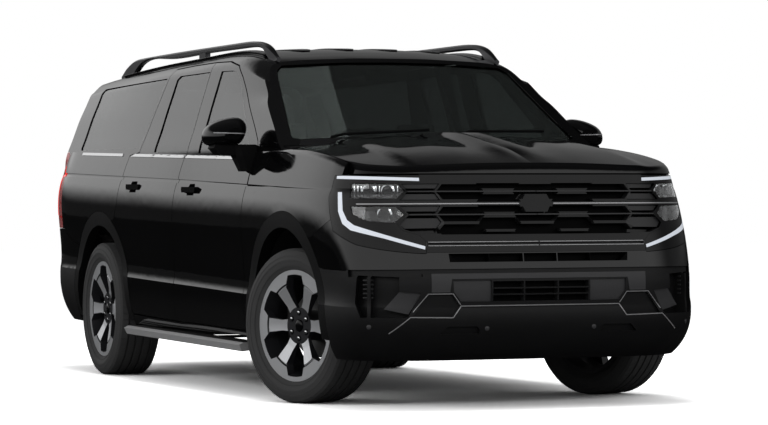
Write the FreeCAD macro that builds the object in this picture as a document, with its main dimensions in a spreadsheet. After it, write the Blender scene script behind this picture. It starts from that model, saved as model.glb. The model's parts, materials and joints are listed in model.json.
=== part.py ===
"""Full-size family suv, built as separate named pieces around one shared frame.

+X points to the nose, +Y to the vehicle's left and +Z up. The origin lies on the
ground below the middle of the vehicle's length. All lengths are millimetres.
Pieces of the right side are modelled and mirrored; middle pieces are joined from
two halves. The body is one skin lofted through level curves below the belt and
through cross-sections above it; panels, lamps and grille are cut from that skin.
"""

import FreeCAD
import Part
import math
import os

from FreeCAD import Placement, Rotation, Vector

# Driving sizes: alias, value, what it sets.
SIZES = [
    ("nose_x", 2818, "foremost point of the bumper"),
    ("tail_x", -2818, "rearmost point of the bumper"),
    ("front_axle_x", 1760, "front axle when the wheels point ahead"),
    ("rear_axle_x", -1553, "rear wheel centre"),
    ("half_track", 865, "wheel centre to the middle plane"),
    ("kingpin_in", 90, "steering axis inboard of the wheel centre"),
    ("tyre_radius", 407.5, "outside radius of the tyre"),
    ("tyre_width", 285, "width over the sidewalls"),
    ("rim_radius", 293, "radius of the rim's lip"),
    ("rest_steer", 19.2, "angle of the front wheels as parked, degrees to the left"),
    ("arch_radius", 515, "wheel opening inside its moulding"),
    ("moulding", 87, "width of the moulding round a wheel opening"),
    ("wall", 70, "side wall and door thickness"),
    ("roof_wall", 32, "thickness of roof, hood and window frames"),
    ("pane", 5, "thickness of the glass"),
    ("shut_gap", 7, "open gap between neighbouring panels"),
    ("skew", 0.32, "forward run of a shut line per millimetre inward"),
    ("door_front_x", 1135, "front edge of the front door"),
    ("pillar_x", -85, "shut line between the doors"),
    ("door_rear_x", -1185, "rear edge of the rear door"),
    ("belt_z", 1322, "lower edge of the side windows at mid length"),
    ("roof_z", 1940, "highest point of the roof panel"),
    ("dome_y", 650, "edge of the raised middle of the hood"),
    ("dome_rise", 17, "height of the raised middle of the hood"),
    ("groove_depth", 8, "depth of the line along the body side"),
    ("face_depth", 46, "depth of the grille cells, lamp bowls and bumper pockets"),
    ("panel_depth", 12, "depth of the shallow panels of the front"),
    ("grille_pitch", 206, "spacing of the columns of grille cells"),
    ("hood_lip_z", 1192, "lower edge of the hood at the grille"),
    ("cowl_z", 1405, "hood height at its rear edge"),
    ("sill_z", 372, "underside of the doors"),
    ("floor_z", 455, "top of the cabin floor"),
    ("floor_plate", 12, "thickness of the floor plate"),
    ("board_z", 310, "top of the running boards"),
    ("board_depth", 48, "height of the running boards"),
    ("rail_z", 1975, "top of the roof rails"),
    ("rail_y", 665, "roof rail to the middle plane"),
    ("mirror_x", 1041, "middle of the mirror housings"),
    ("mirror_y", 1186, "outer end of the mirror housings"),
    ("spoke_depth", 50, "thickness of the rim's spokes"),
    ("spoke_dish", 30, "how far the spokes fall back from the lip to the hub"),
    ("lug_circle", 67.5, "wheel nuts to the wheel's axis"),
    ("lug_pocket", 16, "radius of the pocket of a wheel nut"),
    ("cap_radius", 33, "radius of the wheel's centre cap"),
    ("lamp_play", 0.4, "play of a light guide in its groove"),
    ("handle_depth", 28, "depth of the bowl behind a door handle"),
    ("spindle_radius", 30, "wheel bearing seat"),
    ("bearing_play", 0.05, "radial play of a wheel on its spindle"),
    ("engine_x", 1470, "rear end of the engine block"),
    ("engine_z", 432, "underside of the engine block"),
    ("engine_length", 760, "length of the engine block"),
    ("engine_width", 620, "width of the engine block"),
    ("engine_height", 560, "height of the engine block"),
    ("spare_x", -2190, "middle of the spare wheel"),
    ("spare_z", 220, "underside of the spare wheel"),
    ("spare_radius", 365, "outside radius of the spare wheel"),
    ("spare_width", 205, "width of the spare wheel, which lies flat"),
    ("spare_bore", 60, "radius of the spare wheel's centre hole"),
    ("steering_x", 900, "middle of the steering wheel along the vehicle"),
    ("steering_y", 400, "middle of the steering wheel to the middle plane"),
    ("steering_z", 1105, "height of the steering wheel's middle"),
    ("steering_tilt", 112, "tilt of the steering wheel's axis from upright, degrees"),
    ("steering_ring", 178, "radius of the steering wheel's ring"),
    ("steering_grip", 15, "radius of the ring's section"),
    ("column_radius", 28, "radius of the steering column"),
    ("column_length", 190, "length of the steering column from behind the hub"),
]

DOC = FreeCAD.newDocument("FamilySuv")
SHEET = DOC.addObject("Spreadsheet::Sheet", "Sizes")
for row, (alias, value, purpose) in enumerate(SIZES, start=1):
    SHEET.set("A%d" % row, purpose)
    SHEET.set("B%d" % row, str(value))
    SHEET.setAlias("B%d" % row, alias)
DOC.recompute()


def size(alias):
    """Value of a driving size, read back from the sheet."""
    return float(getattr(SHEET, alias))


PIECES = {}


def keep(name, shape, placement=None):
    """Add one finished sub-part to the document under its file name."""
    piece = DOC.addObject("Part::Feature", name)
    piece.Label = name
    piece.Shape = shape
    if placement:
        piece.Placement = placement
    PIECES[name] = piece
    return piece


def feature(kind, name, **sizes):
    """Parametric feature whose properties follow expressions of the sheet."""
    made = DOC.addObject("Part::" + kind, name)
    made.Label = name
    for path, expression in sizes.items():
        made.setExpression(path.replace("__", "."), expression)
    return made


def mirrored(shape):
    """Mirror image across the middle plane."""
    return shape.mirror(Vector(0, 0, 0), Vector(0, 1, 0))


def handed(shape, side):
    """Copy of a right-hand shape for one side; side is -1 on the right, 1 on the left."""
    return shape.copy() if side < 0 else mirrored(shape)


def joined(half):
    """One solid from a half that ends on the middle plane and its mirror image."""
    return half.fuse(mirrored(half)).removeSplitter()


def group(*shapes):
    """Several separate solids kept as one sub-part."""
    solids = []
    for shape in shapes:
        solids += shape.Solids
    return Part.makeCompound(solids)


def pair(half):
    """The solids of the right side with those of the left."""
    return group(half, mirrored(half))


def box(x0, x1, y0, y1, z0, z1):
    """Upright box between two corners."""
    return Part.makeBox(x1 - x0, y1 - y0, z1 - z0, Vector(x0, y0, z0))


def prism(points, direction):
    """Closed polygon pushed along a direction."""
    wire = Part.makePolygon(points + points[:1])
    return Part.Face(wire).extrude(direction)


def grown(outline, amount):
    """Flat outline moved out by an amount, as a face in its own plane."""
    wire = Part.makePolygon([Vector(a, b, 0) for a, b in outline + outline[:1]])
    if abs(amount) > 1e-6:
        wire = wire.makeOffset2D(amount, 2)
    return Part.Face(wire)


def side_cutter(outline, grow=0.0, y0=-1150.0, y1=-300.0, skewed=True):
    """Outline in X and Z pushed inward from the right, running forward as it goes."""
    face = grown(outline, grow)
    face.Placement = Placement(Vector(0, y0, 0), Rotation(Vector(1, 0, 0), 90))
    run = (y1 - y0) * size("skew") if skewed else 0.0
    start = run * (-1000.0 - y0) / (y1 - y0)
    face.translate(Vector(-start, 0, 0))
    return face.extrude(Vector(run, y1 - y0, 0))


def plan_cutter(outline, z0, z1, grow=0.0):
    """Outline in X and Y pushed up."""
    face = grown(outline, grow)
    face.translate(Vector(0, 0, z0))
    return face.extrude(Vector(0, 0, z1 - z0))


def front_cutter(outline, x0, x1, grow=0.0):
    """Outline in Y and Z pushed along X."""
    face = grown(outline, grow)
    turned = Rotation(Vector(0, 1, 0), 90) * Rotation(Vector(0, 0, 1), 90)
    face.Placement = Placement(Vector(x0, 0, 0), turned)
    return face.extrude(Vector(x1 - x0, 0, 0))


def slant_cutter(points, direction=(.83, -.56), start=2000.0, reach=1200.0, grow=0.0):
    """Outline through points in space, pushed both ways along a level direction."""
    length = math.hypot(direction[0], direction[1])
    way = Vector(direction[0] / length, direction[1] / length, 0)
    flat = []
    for x, y, z in points:
        point = Vector(x, y, z)
        flat.append(point - way * point.dot(way) + way * start)
    wire = Part.makePolygon(flat + flat[:1])
    if grow:
        wire = wire.makeOffset2D(grow, 2)
    return Part.Face(wire).extrude(way * reach)


def across(x, z, radius, y0, y1):
    """Cylinder that lies across the vehicle."""
    return Part.makeCylinder(radius, y1 - y0, Vector(x, y0, z), Vector(0, 1, 0))


# Body skin. A level is a closed plan outline of the right half that falls towards the
# nose. Pairs are (distance behind the nose or ahead of the tail, share of half width).
FRONT_BUMPER = [(0, 0), (5, .31), (22, .60), (70, .78), (135, .885), (215, .955), (330, .985),
                (520, 1.0)]
FRONT_LAMP = [(0, 0), (7, .31), (33, .627), (100, .79), (195, .90), (336, .968), (450, .988),
              (620, 1.0)]
REAR_BUMPER = [(0, 0), (12, .4), (37, .70), (92, .84), (172, .92), (292, .965), (512, .985),
               (812, .995)]
REAR_GATE = [(0, 0), (5, .35), (22, .63), (48, .81), (90, .90), (160, .943), (310, .975),
             (560, .99)]
MARKS = [0.0, .040, .078, .104, .123, .142, .160, .185, .300, .445, .590,
         .735, .800, .845, .875, .895, .915, .950, 1.0]


def blend(first, second, share):
    """Rows part way from one list of pairs to another."""
    return [(a[0] + (b[0] - a[0]) * share, a[1] + (b[1] - a[1]) * share)
            for a, b in zip(first, second)]


def level(row, inset):
    """Open curve of the right half of the body at one height, nose to tail."""
    height, half, nose, tail, front, rear, fall = row
    past = PAST if inset else 0.0
    half -= inset
    nose -= inset
    tail += inset
    ahead = blend(FRONT_BUMPER, FRONT_LAMP, front)
    behind = blend(REAR_BUMPER, REAR_GATE, rear)
    run = [(nose - back, half * share) for back, share in ahead]
    run += [(700, half), (-200, half * 1.002), (-1100, half)]
    run += [(tail + on, half * share) for on, share in behind[::-1]]
    run[0] = (run[0][0], -past)
    run[-1] = (run[-1][0], -past)
    points = [Vector(x, -y, height - fall * x) for x, y in run]
    curve = Part.BSplineCurve()
    curve.interpolate(Points=points, Parameters=MARKS,
                      InitialTangent=Vector(0, -1, 0), FinalTangent=Vector(0, 1, 0))
    return Part.Wire([curve.toShape()])


def seam(wire):
    """Straight line on the middle plane that closes a level curve."""
    ends = [v.Point for v in wire.OrderedVertexes]
    return Part.makeLine(ends[-1], ends[0])


FALL = 0.0255
PAST = 45.0


def level_groups(deeper=0.0):
    """Level rows of the lower body, grouped between its crease lines."""
    nose = size("nose_x")
    tail = size("tail_x")
    foot = [
        (285 - deeper, 945, nose - 118, tail + 110, 0, 0, .0133),
        (400, 988, nose - 30, tail + 16, 0, 0, .018),
        (590, 1004, nose - 4, tail, 0, 0, FALL),
    ]
    flank = [
        foot[-1],
        (640, 997, nose - 1, tail + 2, .02, .1, FALL),
        (720, 998, nose, tail + 5, .06, .2, FALL),
        (820, 1005, nose - 12, tail + 14, .25, .5, FALL),
        (930, 1012, nose - 32, tail + 22, .55, .8, FALL),
        (1060, 1007, nose - 55, tail + 28, .9, 1, FALL),
        (1130, 995, nose - 64, tail + 34, 1, 1, FALL),
        (1185, 977, nose - 72, tail + 42, 1, 1, FALL),
    ]
    shoulder = [
        flank[-1],
        (1235, 966, nose - 78, tail + 55, 1, 1, FALL),
        (1330, 936, nose - 92, tail + 80, 1, 1, FALL),
        (1470, 893, nose - 112, tail + 118, 1, 1, FALL),
    ]
    return foot, flank, shoulder


LOWER = {}


def lower_solid(inset):
    """Right half of the lower body, nose to tail, moved in by inset; made once."""
    if inset not in LOWER:
        LOWER[inset] = make_lower_solid(inset)
    return LOWER[inset].copy()


def make_lower_solid(inset):
    """Lofted faces between the level curves, closed by lids and the middle plane."""
    faces = []
    groups = level_groups(60.0 if inset else 0.0)
    past = PAST if inset else 0.0
    for rows in groups:
        faces += Part.makeLoft([level(row, inset) for row in rows], False, False).Faces
    bottom = level(groups[0][0], inset)
    top = level(groups[-1][-1], inset)
    lids = [seam(bottom), seam(top)]
    faces.append(Part.Face(Part.Wire(bottom.Edges + [lids[0]])))
    faces.append(Part.Face(Part.Wire(top.Edges + [lids[1]])))
    middle = list(lids)
    for face in faces[:len(groups)]:
        for edge in face.Edges:
            b = edge.BoundBox
            if abs(b.YMin - past) < 1e-3 and abs(b.YMax - past) < 1e-3:
                middle.append(edge)
    faces.append(Part.Face(Part.Wire(Part.__sortEdges__(middle))))
    shell = Part.Shell(faces)
    shell.sewShape()
    solid = Part.Solid(shell)
    if solid.Volume < 0:
        solid.reverse()
    return solid


def above_surface(height_at, xs, ys, thick=700):
    """Everything above a smooth surface given by its height at each place."""
    grid = [[Vector(x, y, height_at(x, y)) for y in ys] for x in xs]
    face = Part.BSplineSurface()
    face.interpolate(grid)
    return face.toShape().extrude(Vector(0, 0, thick))


def hood_height(x, y):
    """Height of the hood and of the fender tops."""
    lip = size("nose_x") - 75
    run = min(max((lip - x) / (lip - 1500.0), 0.0), 1.0)
    front = size("hood_lip_z") + 52
    top = front + (size("cowl_z") - front) * (1 - (1 - run) ** 1.9)
    rise = min(max((size("dome_y") + 60 - 45 * run - abs(y)) / 90.0, 0.0), 1.0)
    dome = size("dome_rise") * min(1.0, 4 * run) * (3 * rise ** 2 - 2 * rise ** 3)
    return top - 50 * (abs(y) / 890.0) ** 2.2 + dome - size("dome_rise") * .4


def belt_height(x):
    """Top of the body side below the windows."""
    return size("belt_z") + 8 - FALL * x


def roof_line(x):
    """Height of the roof's middle line."""
    peak = size("roof_z")
    if x > 250:
        return peak - 75 * ((x - 250) / 530.0) ** 2.0 if x < 900 else peak - 75 * 1.505 - (x - 900) * .36
    return peak - 62 * ((250 - x) / 2750.0) ** 1.8


def upper_section(x, inset):
    """Closed cross-section of the cabin's right half above the belt."""
    top = roof_line(x) - inset
    drop = size("roof_z") - roof_line(x)
    narrow = 0.0 if x > -900 else 52 * ((-900 - x) / 1880.0) ** 1.7
    side = [(0, 1200 if inset else 1235), (905, 1200 if inset else 1235)]
    wall = [(925, 1290), (925, 1340), (895, 1455), (855, 1595), (814, 1735), (794, 1803)]
    crown = [(775, 1846), (735, 1884), (672, 1908), (540, 1924), (300, 1936), (0, 1940)]
    high = []
    for y, z in wall:
        lean = max(0.0, (z - 1340) / 463.0)
        high.append((y - narrow * (.4 + .6 * lean) - inset * 1.05, z - drop * max(0.0, (z - 1600) / 340.0)))
    for y, z in crown:
        share = min(1.0, y / 775.0)
        high.append(((y - (narrow + inset * 1.05) * share), z - drop - inset * (1 - .35 * share)))
    past = PAST if inset else 0.0
    high[-1] = (-past, high[-1][1])
    points = [Vector(x, -y, z) for y, z in high]
    curve = Part.BSplineCurve()
    marks = [0.0, .045, .150, .280, .410, .475, .520, .565, .630, .740, .870, 1.0]
    curve.interpolate(Points=points, Parameters=marks, FinalTangent=Vector(0, 1, 0),
                      InitialTangent=Vector(0, 0, 1))
    base = Vector(x, past, side[0][1])
    corner = Vector(x, points[0].y, side[0][1])
    lines = [Part.makeLine(base, corner), Part.makeLine(corner, points[0]), curve.toShape(),
             Part.makeLine(points[-1], base)]
    return Part.Wire(lines)


def screen_x(y, z, back=0.0):
    """Windshield's outer face, moved back along X when asked."""
    slope = 1.583 * (1405 - z) + .00022 * (z - 1405) * (z - 1865)
    return 1508 + slope - 92 * (abs(y) / 870.0) ** 2.6 - back


def gate_x(y, z, ahead=0.0):
    """Outer face of the rear window and its frame."""
    return -2742 + .30 * (z - 1391) + .00012 * (z - 1391) ** 2 + 110 * (abs(y) / 850.0) ** 4 + ahead


def upright_cut(place, ys, zs, reach):
    """Everything ahead of or behind a smooth upright surface."""
    grid = [[Vector(place(y, z), y, z) for z in zs] for y in ys]
    face = Part.BSplineSurface()
    face.interpolate(grid)
    return face.toShape().extrude(Vector(reach, 0, 0))


SIDE_YS = [-1060, -900, -760, -600, -420, -210, 0, 200]


def screen_cut(back=0.0):
    """Everything ahead of the windshield's face."""
    zs = [1150, 1300, 1450, 1600, 1750, 1900, 2050]
    return upright_cut(lambda y, z: screen_x(y, z, back), SIDE_YS, zs, 2500)


def gate_cut(ahead=0.0):
    """Everything behind the rear window's face."""
    zs = [1150, 1300, 1450, 1600, 1750, 1900, 2050]
    return upright_cut(lambda y, z: gate_x(y, z, ahead), SIDE_YS, zs, -1500)


def upper_solid(inset):
    """Right half of the cabin above the belt, moved in by inset."""
    stations = [-2860, -2400, -1800, -1100, -400, 250, 620, 900, 1300, 1760]
    block = Part.makeLoft([upper_section(x, inset) for x in stations], True, False)
    block = block.cut(screen_cut(inset * 2.2))
    return block.cut(gate_cut(inset * 1.15))


def rounded(shape, radius, choose):
    """Shape with the chosen edges rounded, or as it is where that can't be done."""
    edges = [edge for edge in shape.Edges if choose(edge.BoundBox)]
    if not edges:
        return shape
    try:
        smooth = shape.makeFillet(radius, edges)
    except Part.OCCError:
        return shape
    return smooth if smooth.isValid() else shape


HOOD_XS = [1000, 1150, 1300, 1450, 1600, 1800, 2000, 2200, 2400, 2550, 2660, 2743, 2900]
HOOD_YS = [-1060, -960, -880, -810, -750, -710, -670, -630, -590, -540, -440, -300, -150, 0, 200]
STEP_X = 1115


def trimmed_lower(inset, drop):
    """Lower body with the hood's surface and the belt as its top."""
    solid = lower_solid(inset)
    above = above_surface(lambda x, y: hood_height(x, y) - drop, HOOD_XS, HOOD_YS)
    above = above.common(box(STEP_X, 3200, -1300, 100, 1000, 2200))
    behind = side_cutter([(-3300, belt_height(-3300)), (STEP_X, belt_height(STEP_X)),
                          (STEP_X, 2000), (-3300, 2000)], 0, -1300, 100, False)
    return solid.cut([above, behind])


def outline_shifted(outline, y_skin):
    """Side outline as it must be drawn so that it meets the skin at y_skin."""
    return [(x - (1000.0 - y_skin(z)) * size("skew"), z) for x, z in outline]


def skin_at(z):
    """Half width of the side skin near mid length at one height."""
    rows = [(200, 930), (400, 985), (930, 1012), (1060, 1007), (1185, 977), (1330, 936),
            (1345, 925), (1800, 794), (1950, 700)]
    for (low, a), (high, b) in zip(rows, rows[1:]):
        if z <= high:
            return a + (b - a) * (z - low) / (high - low)
    return rows[-1][1]


def door_outlines():
    """Front and rear door outlines in X and Z on the right-hand skin."""
    sill = size("sill_z")
    front_x = size("door_front_x")
    mid_x = size("pillar_x")
    rear_x = size("door_rear_x")
    front = [(front_x, sill - .0133 * front_x), (front_x, 1326), (1142, 1352), (1118, 1392), (560, 1762),
             (430, 1832), (250, 1862), (mid_x + 68, 1868), (mid_x + 17, 1335), (mid_x + 3, 1200),
             (mid_x - 6, 1000), (mid_x - 6, sill - .0133 * mid_x)]
    radius = size("arch_radius") + size("moulding")
    axle = size("rear_axle_x")
    centre = size("tyre_radius")
    rear = [(mid_x - 6, sill - .0133 * mid_x), (mid_x - 6, 1000), (mid_x + 3, 1200), (mid_x + 17, 1335),
            (mid_x + 68, 1868), (-420, 1866), (-760, 1858), (-792, 1822), (-985, 1366), (rear_x + 66, 1345),
            (rear_x + 22, 1180), (rear_x, 1050)]
    start = math.asin(min(1.0, (930 - centre) / radius))
    for step in range(9):
        angle = start * (1 - step / 8.0) + math.radians(2) * step / 8.0
        rear.append((axle + radius * math.cos(angle), centre + radius * math.sin(angle)))
    rear.append((axle + radius + 26, sill - .0133 * axle))
    return front, rear


def window_line(x):
    """Lower edge of the side windows."""
    return size("belt_z") - .024 * x + 22


def window_outlines():
    """Clear window openings of the right side: front door, rear door, quarter."""
    front = [(1046, window_line(1046) + 4), (521, 1758), (430, 1796), (360, 1806), (164, 1810),
             (130, window_line(130))]
    rear = [(-79, window_line(-79)), (-42, 1814), (-590, 1812), (-636, 1790), (-701, window_line(-701))]
    quarter = [(-1004, window_line(-1004) + 22), (-836, 1806), (-2225, 1792), (-2262, 1762),
               (-2306, window_line(-2306) + 14), (-2290, window_line(-2290))]
    return front, rear, quarter


def arch_cutter(axle_x, radius, inner_y):
    """Round opening of a wheel arch, cut from the outside to inner_y."""
    return across(axle_x, size("tyre_radius"), radius, -1150, -inner_y)


def half_space_box(**limits):
    """Large box of the right half with some sides brought in."""
    sides = dict(x0=-3200, x1=3200, y0=-1300, y1=120, z0=-400, z1=2300)
    sides.update(limits)
    return box(sides["x0"], sides["x1"], sides["y0"], sides["y1"], sides["z0"], sides["z1"])


def hood_outline():
    """Plan outline of the hood's right half."""
    return [(1574, 60), (1568, -300), (1545, -600), (1508, -820), (1490, -900), (1800, -907), (2100, -905),
            (2300, -899), (2397, -892), (2487, -877), (2487, -1200), (3100, -1200), (3100, 60)]


def lamp_outline():
    """Side outline of the front lamp's zone."""
    return [(2357, 1188), (2350, 1082), (2388, 1002), (2440, 908), (2600, 838), (2770, 792), (3000, 792),
            (3000, 1188)]


def build_skin():
    """Right half of the hollow body skin, before it is split into panels."""
    lower = trimmed_lower(0, 0)
    upper = upper_solid(0)
    lower = rounded(lower, 50, lambda b: b.ZMin > 1200 and b.XMin > 1000 and b.XMax - b.XMin > 300
                    and b.YMin < -300 and b.ZMax < 1400)
    upper = rounded(upper, 45, lambda b: b.ZMax > 1700 and b.YMin < -700 and b.XMax - b.XMin > 400
                    and b.XMin > 500)
    upper = rounded(upper, 50, lambda b: b.ZMax > 1700 and b.ZMin < 1400 and b.YMin < -700
                    and b.XMax < -2000)
    wall = size("wall")
    thin = size("roof_wall")
    inside = trimmed_lower(wall, thin).fuse(upper_solid(thin))
    outer = lower.fuse(upper)
    line = [(-2600, 1262), (-2600, 1238), (0, 1171), (2241, 1120), (0, 1192)]
    groove = side_cutter(line, 0, -1150, -700, False)
    groove = groove.cut(trimmed_lower(size("groove_depth"), 200))
    return outer, outer.cut([inside, groove])


def seat(x, y, width, rows=1):
    """Plain seat: cushion, backrest and headrest."""
    w = width / 2.0
    cushion = box(x - 250, x + 250, y - w, y + w, 640, 790)
    base = box(x - 200, x + 200, y - w + 40, y + w - 40, size("floor_z"), 642)
    side = [(x - 250, 760), (x - 130, 760), (x - 300, 1330), (x - 390, 1330)]
    back = side_cutter(side, 0, y - w, y + w, False)
    head = box(x - 385, x - 300, y - 130, y + 130, 1350, 1520)
    posts = [Part.makeCylinder(7, 80, Vector(x - 344, y + o, 1300)) for o in (-50, 50)]
    return cushion.fuse([base, back, head] + posts)


def tyre_shape():
    """Tyre revolved about its own axis, with four grooves round the tread."""
    outer = size("tyre_radius")
    rim = size("rim_radius") - 8
    half = size("tyre_width") / 2.0
    tread = half - 26
    points = [(rim, half - 36), (rim + 14, half - 22), (rim + 34, half - 8), (rim + 62, half),
              (outer - 34, half - 6), (outer - 12, half - 16), (outer - 3, tread)]
    for centre in (72, 24, -24, -72):
        points += [(outer, centre + 6), (outer - 9, centre + 5)]
        points += [(outer - 9, centre - 5), (outer, centre - 6)]
    points += [(outer - 3, -tread), (outer - 12, -half + 16), (outer - 34, -half + 6), (rim + 62, -half),
               (rim + 34, -half + 8), (rim + 14, -half + 22), (rim, -half + 36)]
    wire = Part.makePolygon([Vector(0, y, r) for r, y in points + points[:1]])
    return Part.Face(wire).revolve(Vector(0, 0, 0), Vector(0, 1, 0), 360)


def rim_shape():
    """Rim with six spokes for the right side, its face towards -Y."""
    lip = size("rim_radius")
    half = size("tyre_width") / 2.0
    seat_r = lip - 8
    bore = size("spindle_radius") + size("bearing_play")
    profile = [(lip, -half + 20), (lip, -half + 34), (seat_r, -half + 38), (seat_r - 20, -30),
               (seat_r - 20, 40), (seat_r, half - 38), (lip, half - 34), (lip, half - 26),
               (seat_r - 14, half - 26), (seat_r - 32, 40), (seat_r - 32, -30), (seat_r - 16, -half + 24)]
    wire = Part.makePolygon([Vector(0, y, r) for r, y in profile + profile[:1]])
    barrel = Part.Face(wire).revolve(Vector(0, 0, 0), Vector(0, 1, 0), 360)
    face_y = -half + 26
    deep = size("spoke_depth")
    dish = size("spoke_dish")
    lug = size("lug_circle")
    hub = Part.makeCylinder(lug + 25, deep, Vector(0, face_y, 0), Vector(0, 1, 0))
    spoke = prism([Vector(x, face_y, z) for x, z in (
        (-34, 50), (34, 50), (28, 130), (37, 212), (86, 262), (84, 272), (-84, 272), (-86, 262), (-37, 212),
        (-28, 130))], Vector(0, deep, 0))
    arms = []
    pockets = []
    for turn in range(6):
        arm = spoke.copy()
        arm.rotate(Vector(0, 0, 0), Vector(0, 1, 0), 60 * turn + 30)
        arms.append(arm)
        floor = Vector(0, face_y + dish - 2, lug)
        pocket = Part.makeCylinder(size("lug_pocket"), 18, floor, Vector(0, 1, 0))
        pocket.rotate(Vector(0, 0, 0), Vector(0, 1, 0), 60 * turn)
        pockets.append(pocket)
    disc = Part.makeCylinder(172, 28, Vector(0, 20, 0), Vector(0, 1, 0))
    neck = Part.makeCylinder(80, 10 - face_y, Vector(0, face_y + 40, 0), Vector(0, 1, 0))
    front = [(0, dish), (size("cap_radius"), dish), (size("cap_radius"), dish + 4),
             (size("cap_radius") + 3, dish + 4), (size("cap_radius") + 3, dish), (lug + 30, dish),
             (lug + 60, dish - 5), (215, 2), (222, 7), (229, 1), (300, 0)]
    front = [Vector(0, face_y + y, r) for r, y in front + [(300, -20), (0, -20)]]
    dished = Part.Face(Part.makePolygon(front + front[:1])).revolve(Vector(0, 0, 0), Vector(0, 1, 0), 360)
    bearing = Part.makeCylinder(bore, 220, Vector(0, -60, 0), Vector(0, 1, 0))
    return barrel.fuse([hub, neck, disc] + arms).cut([dished, bearing] + pockets)


def wheel_place(axle_x, side, steered=False):
    """Placement of a wheel part at its axle; side is -1 on the right, 1 on the left."""
    pivot = Vector(axle_x, side * (size("half_track") - size("kingpin_in")), size("tyre_radius"))
    turn = Rotation(Vector(0, 0, 1), size("rest_steer") if steered else 0)
    return Placement(pivot + turn * Vector(0, side * size("kingpin_in"), 0), turn)


def rod(points, radius):
    """Round bar through several points with round joints."""
    parts = []
    for a, b in zip(points, points[1:]):
        run = b - a
        parts.append(Part.makeCylinder(radius, run.Length, a, run))
    for a in points[1:-1]:
        parts.append(Part.makeSphere(radius, a))
    return parts[0].fuse(parts[1:]) if len(parts) > 1 else parts[0]


def knuckle_shape():
    """Hub carrier of the right front wheel about the wheel centre, inboard is +Y."""
    pin = size("kingpin_in")
    spindle = Part.makeCylinder(size("spindle_radius"), pin + 40, Vector(0, -40, 0), Vector(0, 1, 0))
    column = Part.makeCylinder(22, 350, Vector(0, pin, -170), Vector(0, 0, 1))
    body = box(-34, 34, pin - 30, pin + 30, -120, 130)
    arm = box(-190, -20, pin - 18, pin + 18, -40, -10)
    caliper = box(-205, -120, 4, 66, -60, 80).cut(
        Part.makeCylinder(180, 40, Vector(0, 14, 0), Vector(0, 1, 0)))
    link = box(-170, -20, 58, pin + 10, 20, 60)
    return spindle.fuse([column, body, arm, caliper, link])


def front_arms():
    """Lower and upper arms of the right front wheel, held to the frame."""
    x = size("front_axle_x")
    y = -(size("half_track") - size("kingpin_in"))
    z = size("tyre_radius")
    play = size("bearing_play")
    shapes = []
    for low, reach, spread in ((z - 168, -470, 210), (z + 146, -490, 130)):
        eye = Part.makeCylinder(38, 26, Vector(x, y, low), Vector(0, 0, 1))
        arms = [rod([Vector(x, y + 20, low + 13), Vector(x + way * spread, reach, low + 13)], 12)
                for way in (-1, 1)]
        hole = Part.makeCylinder(22 + play, 400, Vector(x, y, z - 190), Vector(0, 0, 1))
        shapes.append(eye.fuse(arms).cut(hole))
    return shapes


def rear_arms():
    """Hub carrier and arms of the right rear wheel."""
    x = size("rear_axle_x")
    y = -size("half_track")
    z = size("tyre_radius")
    spindle = Part.makeCylinder(size("spindle_radius"), 130, Vector(x, y - 40, z), Vector(0, 1, 0))
    body = box(x - 40, x + 40, y + 62, y + 122, z - 120, z + 120)
    caliper = box(x - 205, x - 120, y + 4, y + 66, z - 60, z + 80).cut(
        Part.makeCylinder(180, 40, Vector(x, y + 14, z), Vector(0, 1, 0)))
    link = box(x - 170, x - 20, y + 58, y + 96, z + 20, z + 60)
    arms = []
    for low, reach, spread in ((z - 100, -450, 220), (z + 6, -450, 120)):
        arms += [rod([Vector(x, y + 90, low), Vector(x + way * spread, reach, low)], 14) for way in (-1, 1)]
    axle = Part.makeCylinder(24, 420, Vector(x, y + 100, z), Vector(0, 1, 0))
    return spindle.fuse([body, caliper, link, axle] + arms)


def panes():
    """Thin layer of glass all round the cabin, right half."""
    return upper_solid(6).cut(upper_solid(6 + size("pane")))


def both_sides(outline):
    """Outline of the right half in Y and Z closed by its mirror image."""
    right = [point for point in outline if point[0] <= 0]
    return right + [(-y, z) for y, z in reversed(right)]


def upright_pane(place, thick, outline):
    """Pane between two copies of an upright surface, cut to an outline in Y and Z."""
    ys = SIDE_YS[:-1] + [-y for y in reversed(SIDE_YS[:-2])]
    zs = [1300, 1400, 1500, 1600, 1700, 1800, 1900]
    grid = [[Vector(place(y, z), y, z) for z in zs] for y in ys]
    face = Part.BSplineSurface()
    face.interpolate(grid)
    slab = face.toShape().extrude(Vector(thick, 0, 0))
    return slab.common(front_cutter(both_sides(outline), -3000, 3000, 14))


def screen_outline():
    """Clear opening of the windshield's right half in Y and Z."""
    return [(60, 1415), (-400, 1408), (-790, 1392), (-832, 1404), (-702, 1788), (-660, 1818), (-300, 1838),
            (60, 1843)]


def gate_outline():
    """Rear view of the liftgate's right half in Y and Z."""
    return [(60, 640), (-740, 640), (-785, 700), (-785, 1000), (-795, 1380), (-745, 1600), (-694, 1790),
            (-640, 1850), (-560, 1960), (60, 1960)]


def gate_window():
    """Clear opening of the rear window's right half in Y and Z."""
    return [(60, 1440), (-690, 1440), (-715, 1462), (-640, 1752), (-600, 1780), (60, 1800)]


def grille_outline():
    """Front view of the grille's right half, up to the arrow ends of the lamps."""
    return [(60, 1189), (-622, 1189), (-622, 1150), (-724, 1150), (-688, 1106), (-736, 1058), (-736, 1034),
            (-688, 988), (-742, 941), (-722, 910), (-640, 884), (-604, 846), (-612, 798), (60, 798)]


def cell(middle, low, high, flat=97.0, tip=130.0):
    """Stretched hexagon of the grille."""
    centre = (low + high) / 2.0
    return [(middle - tip, centre), (middle - flat, low), (middle + flat, low), (middle + tip, centre),
            (middle + flat, high), (middle - flat, high)]


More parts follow.
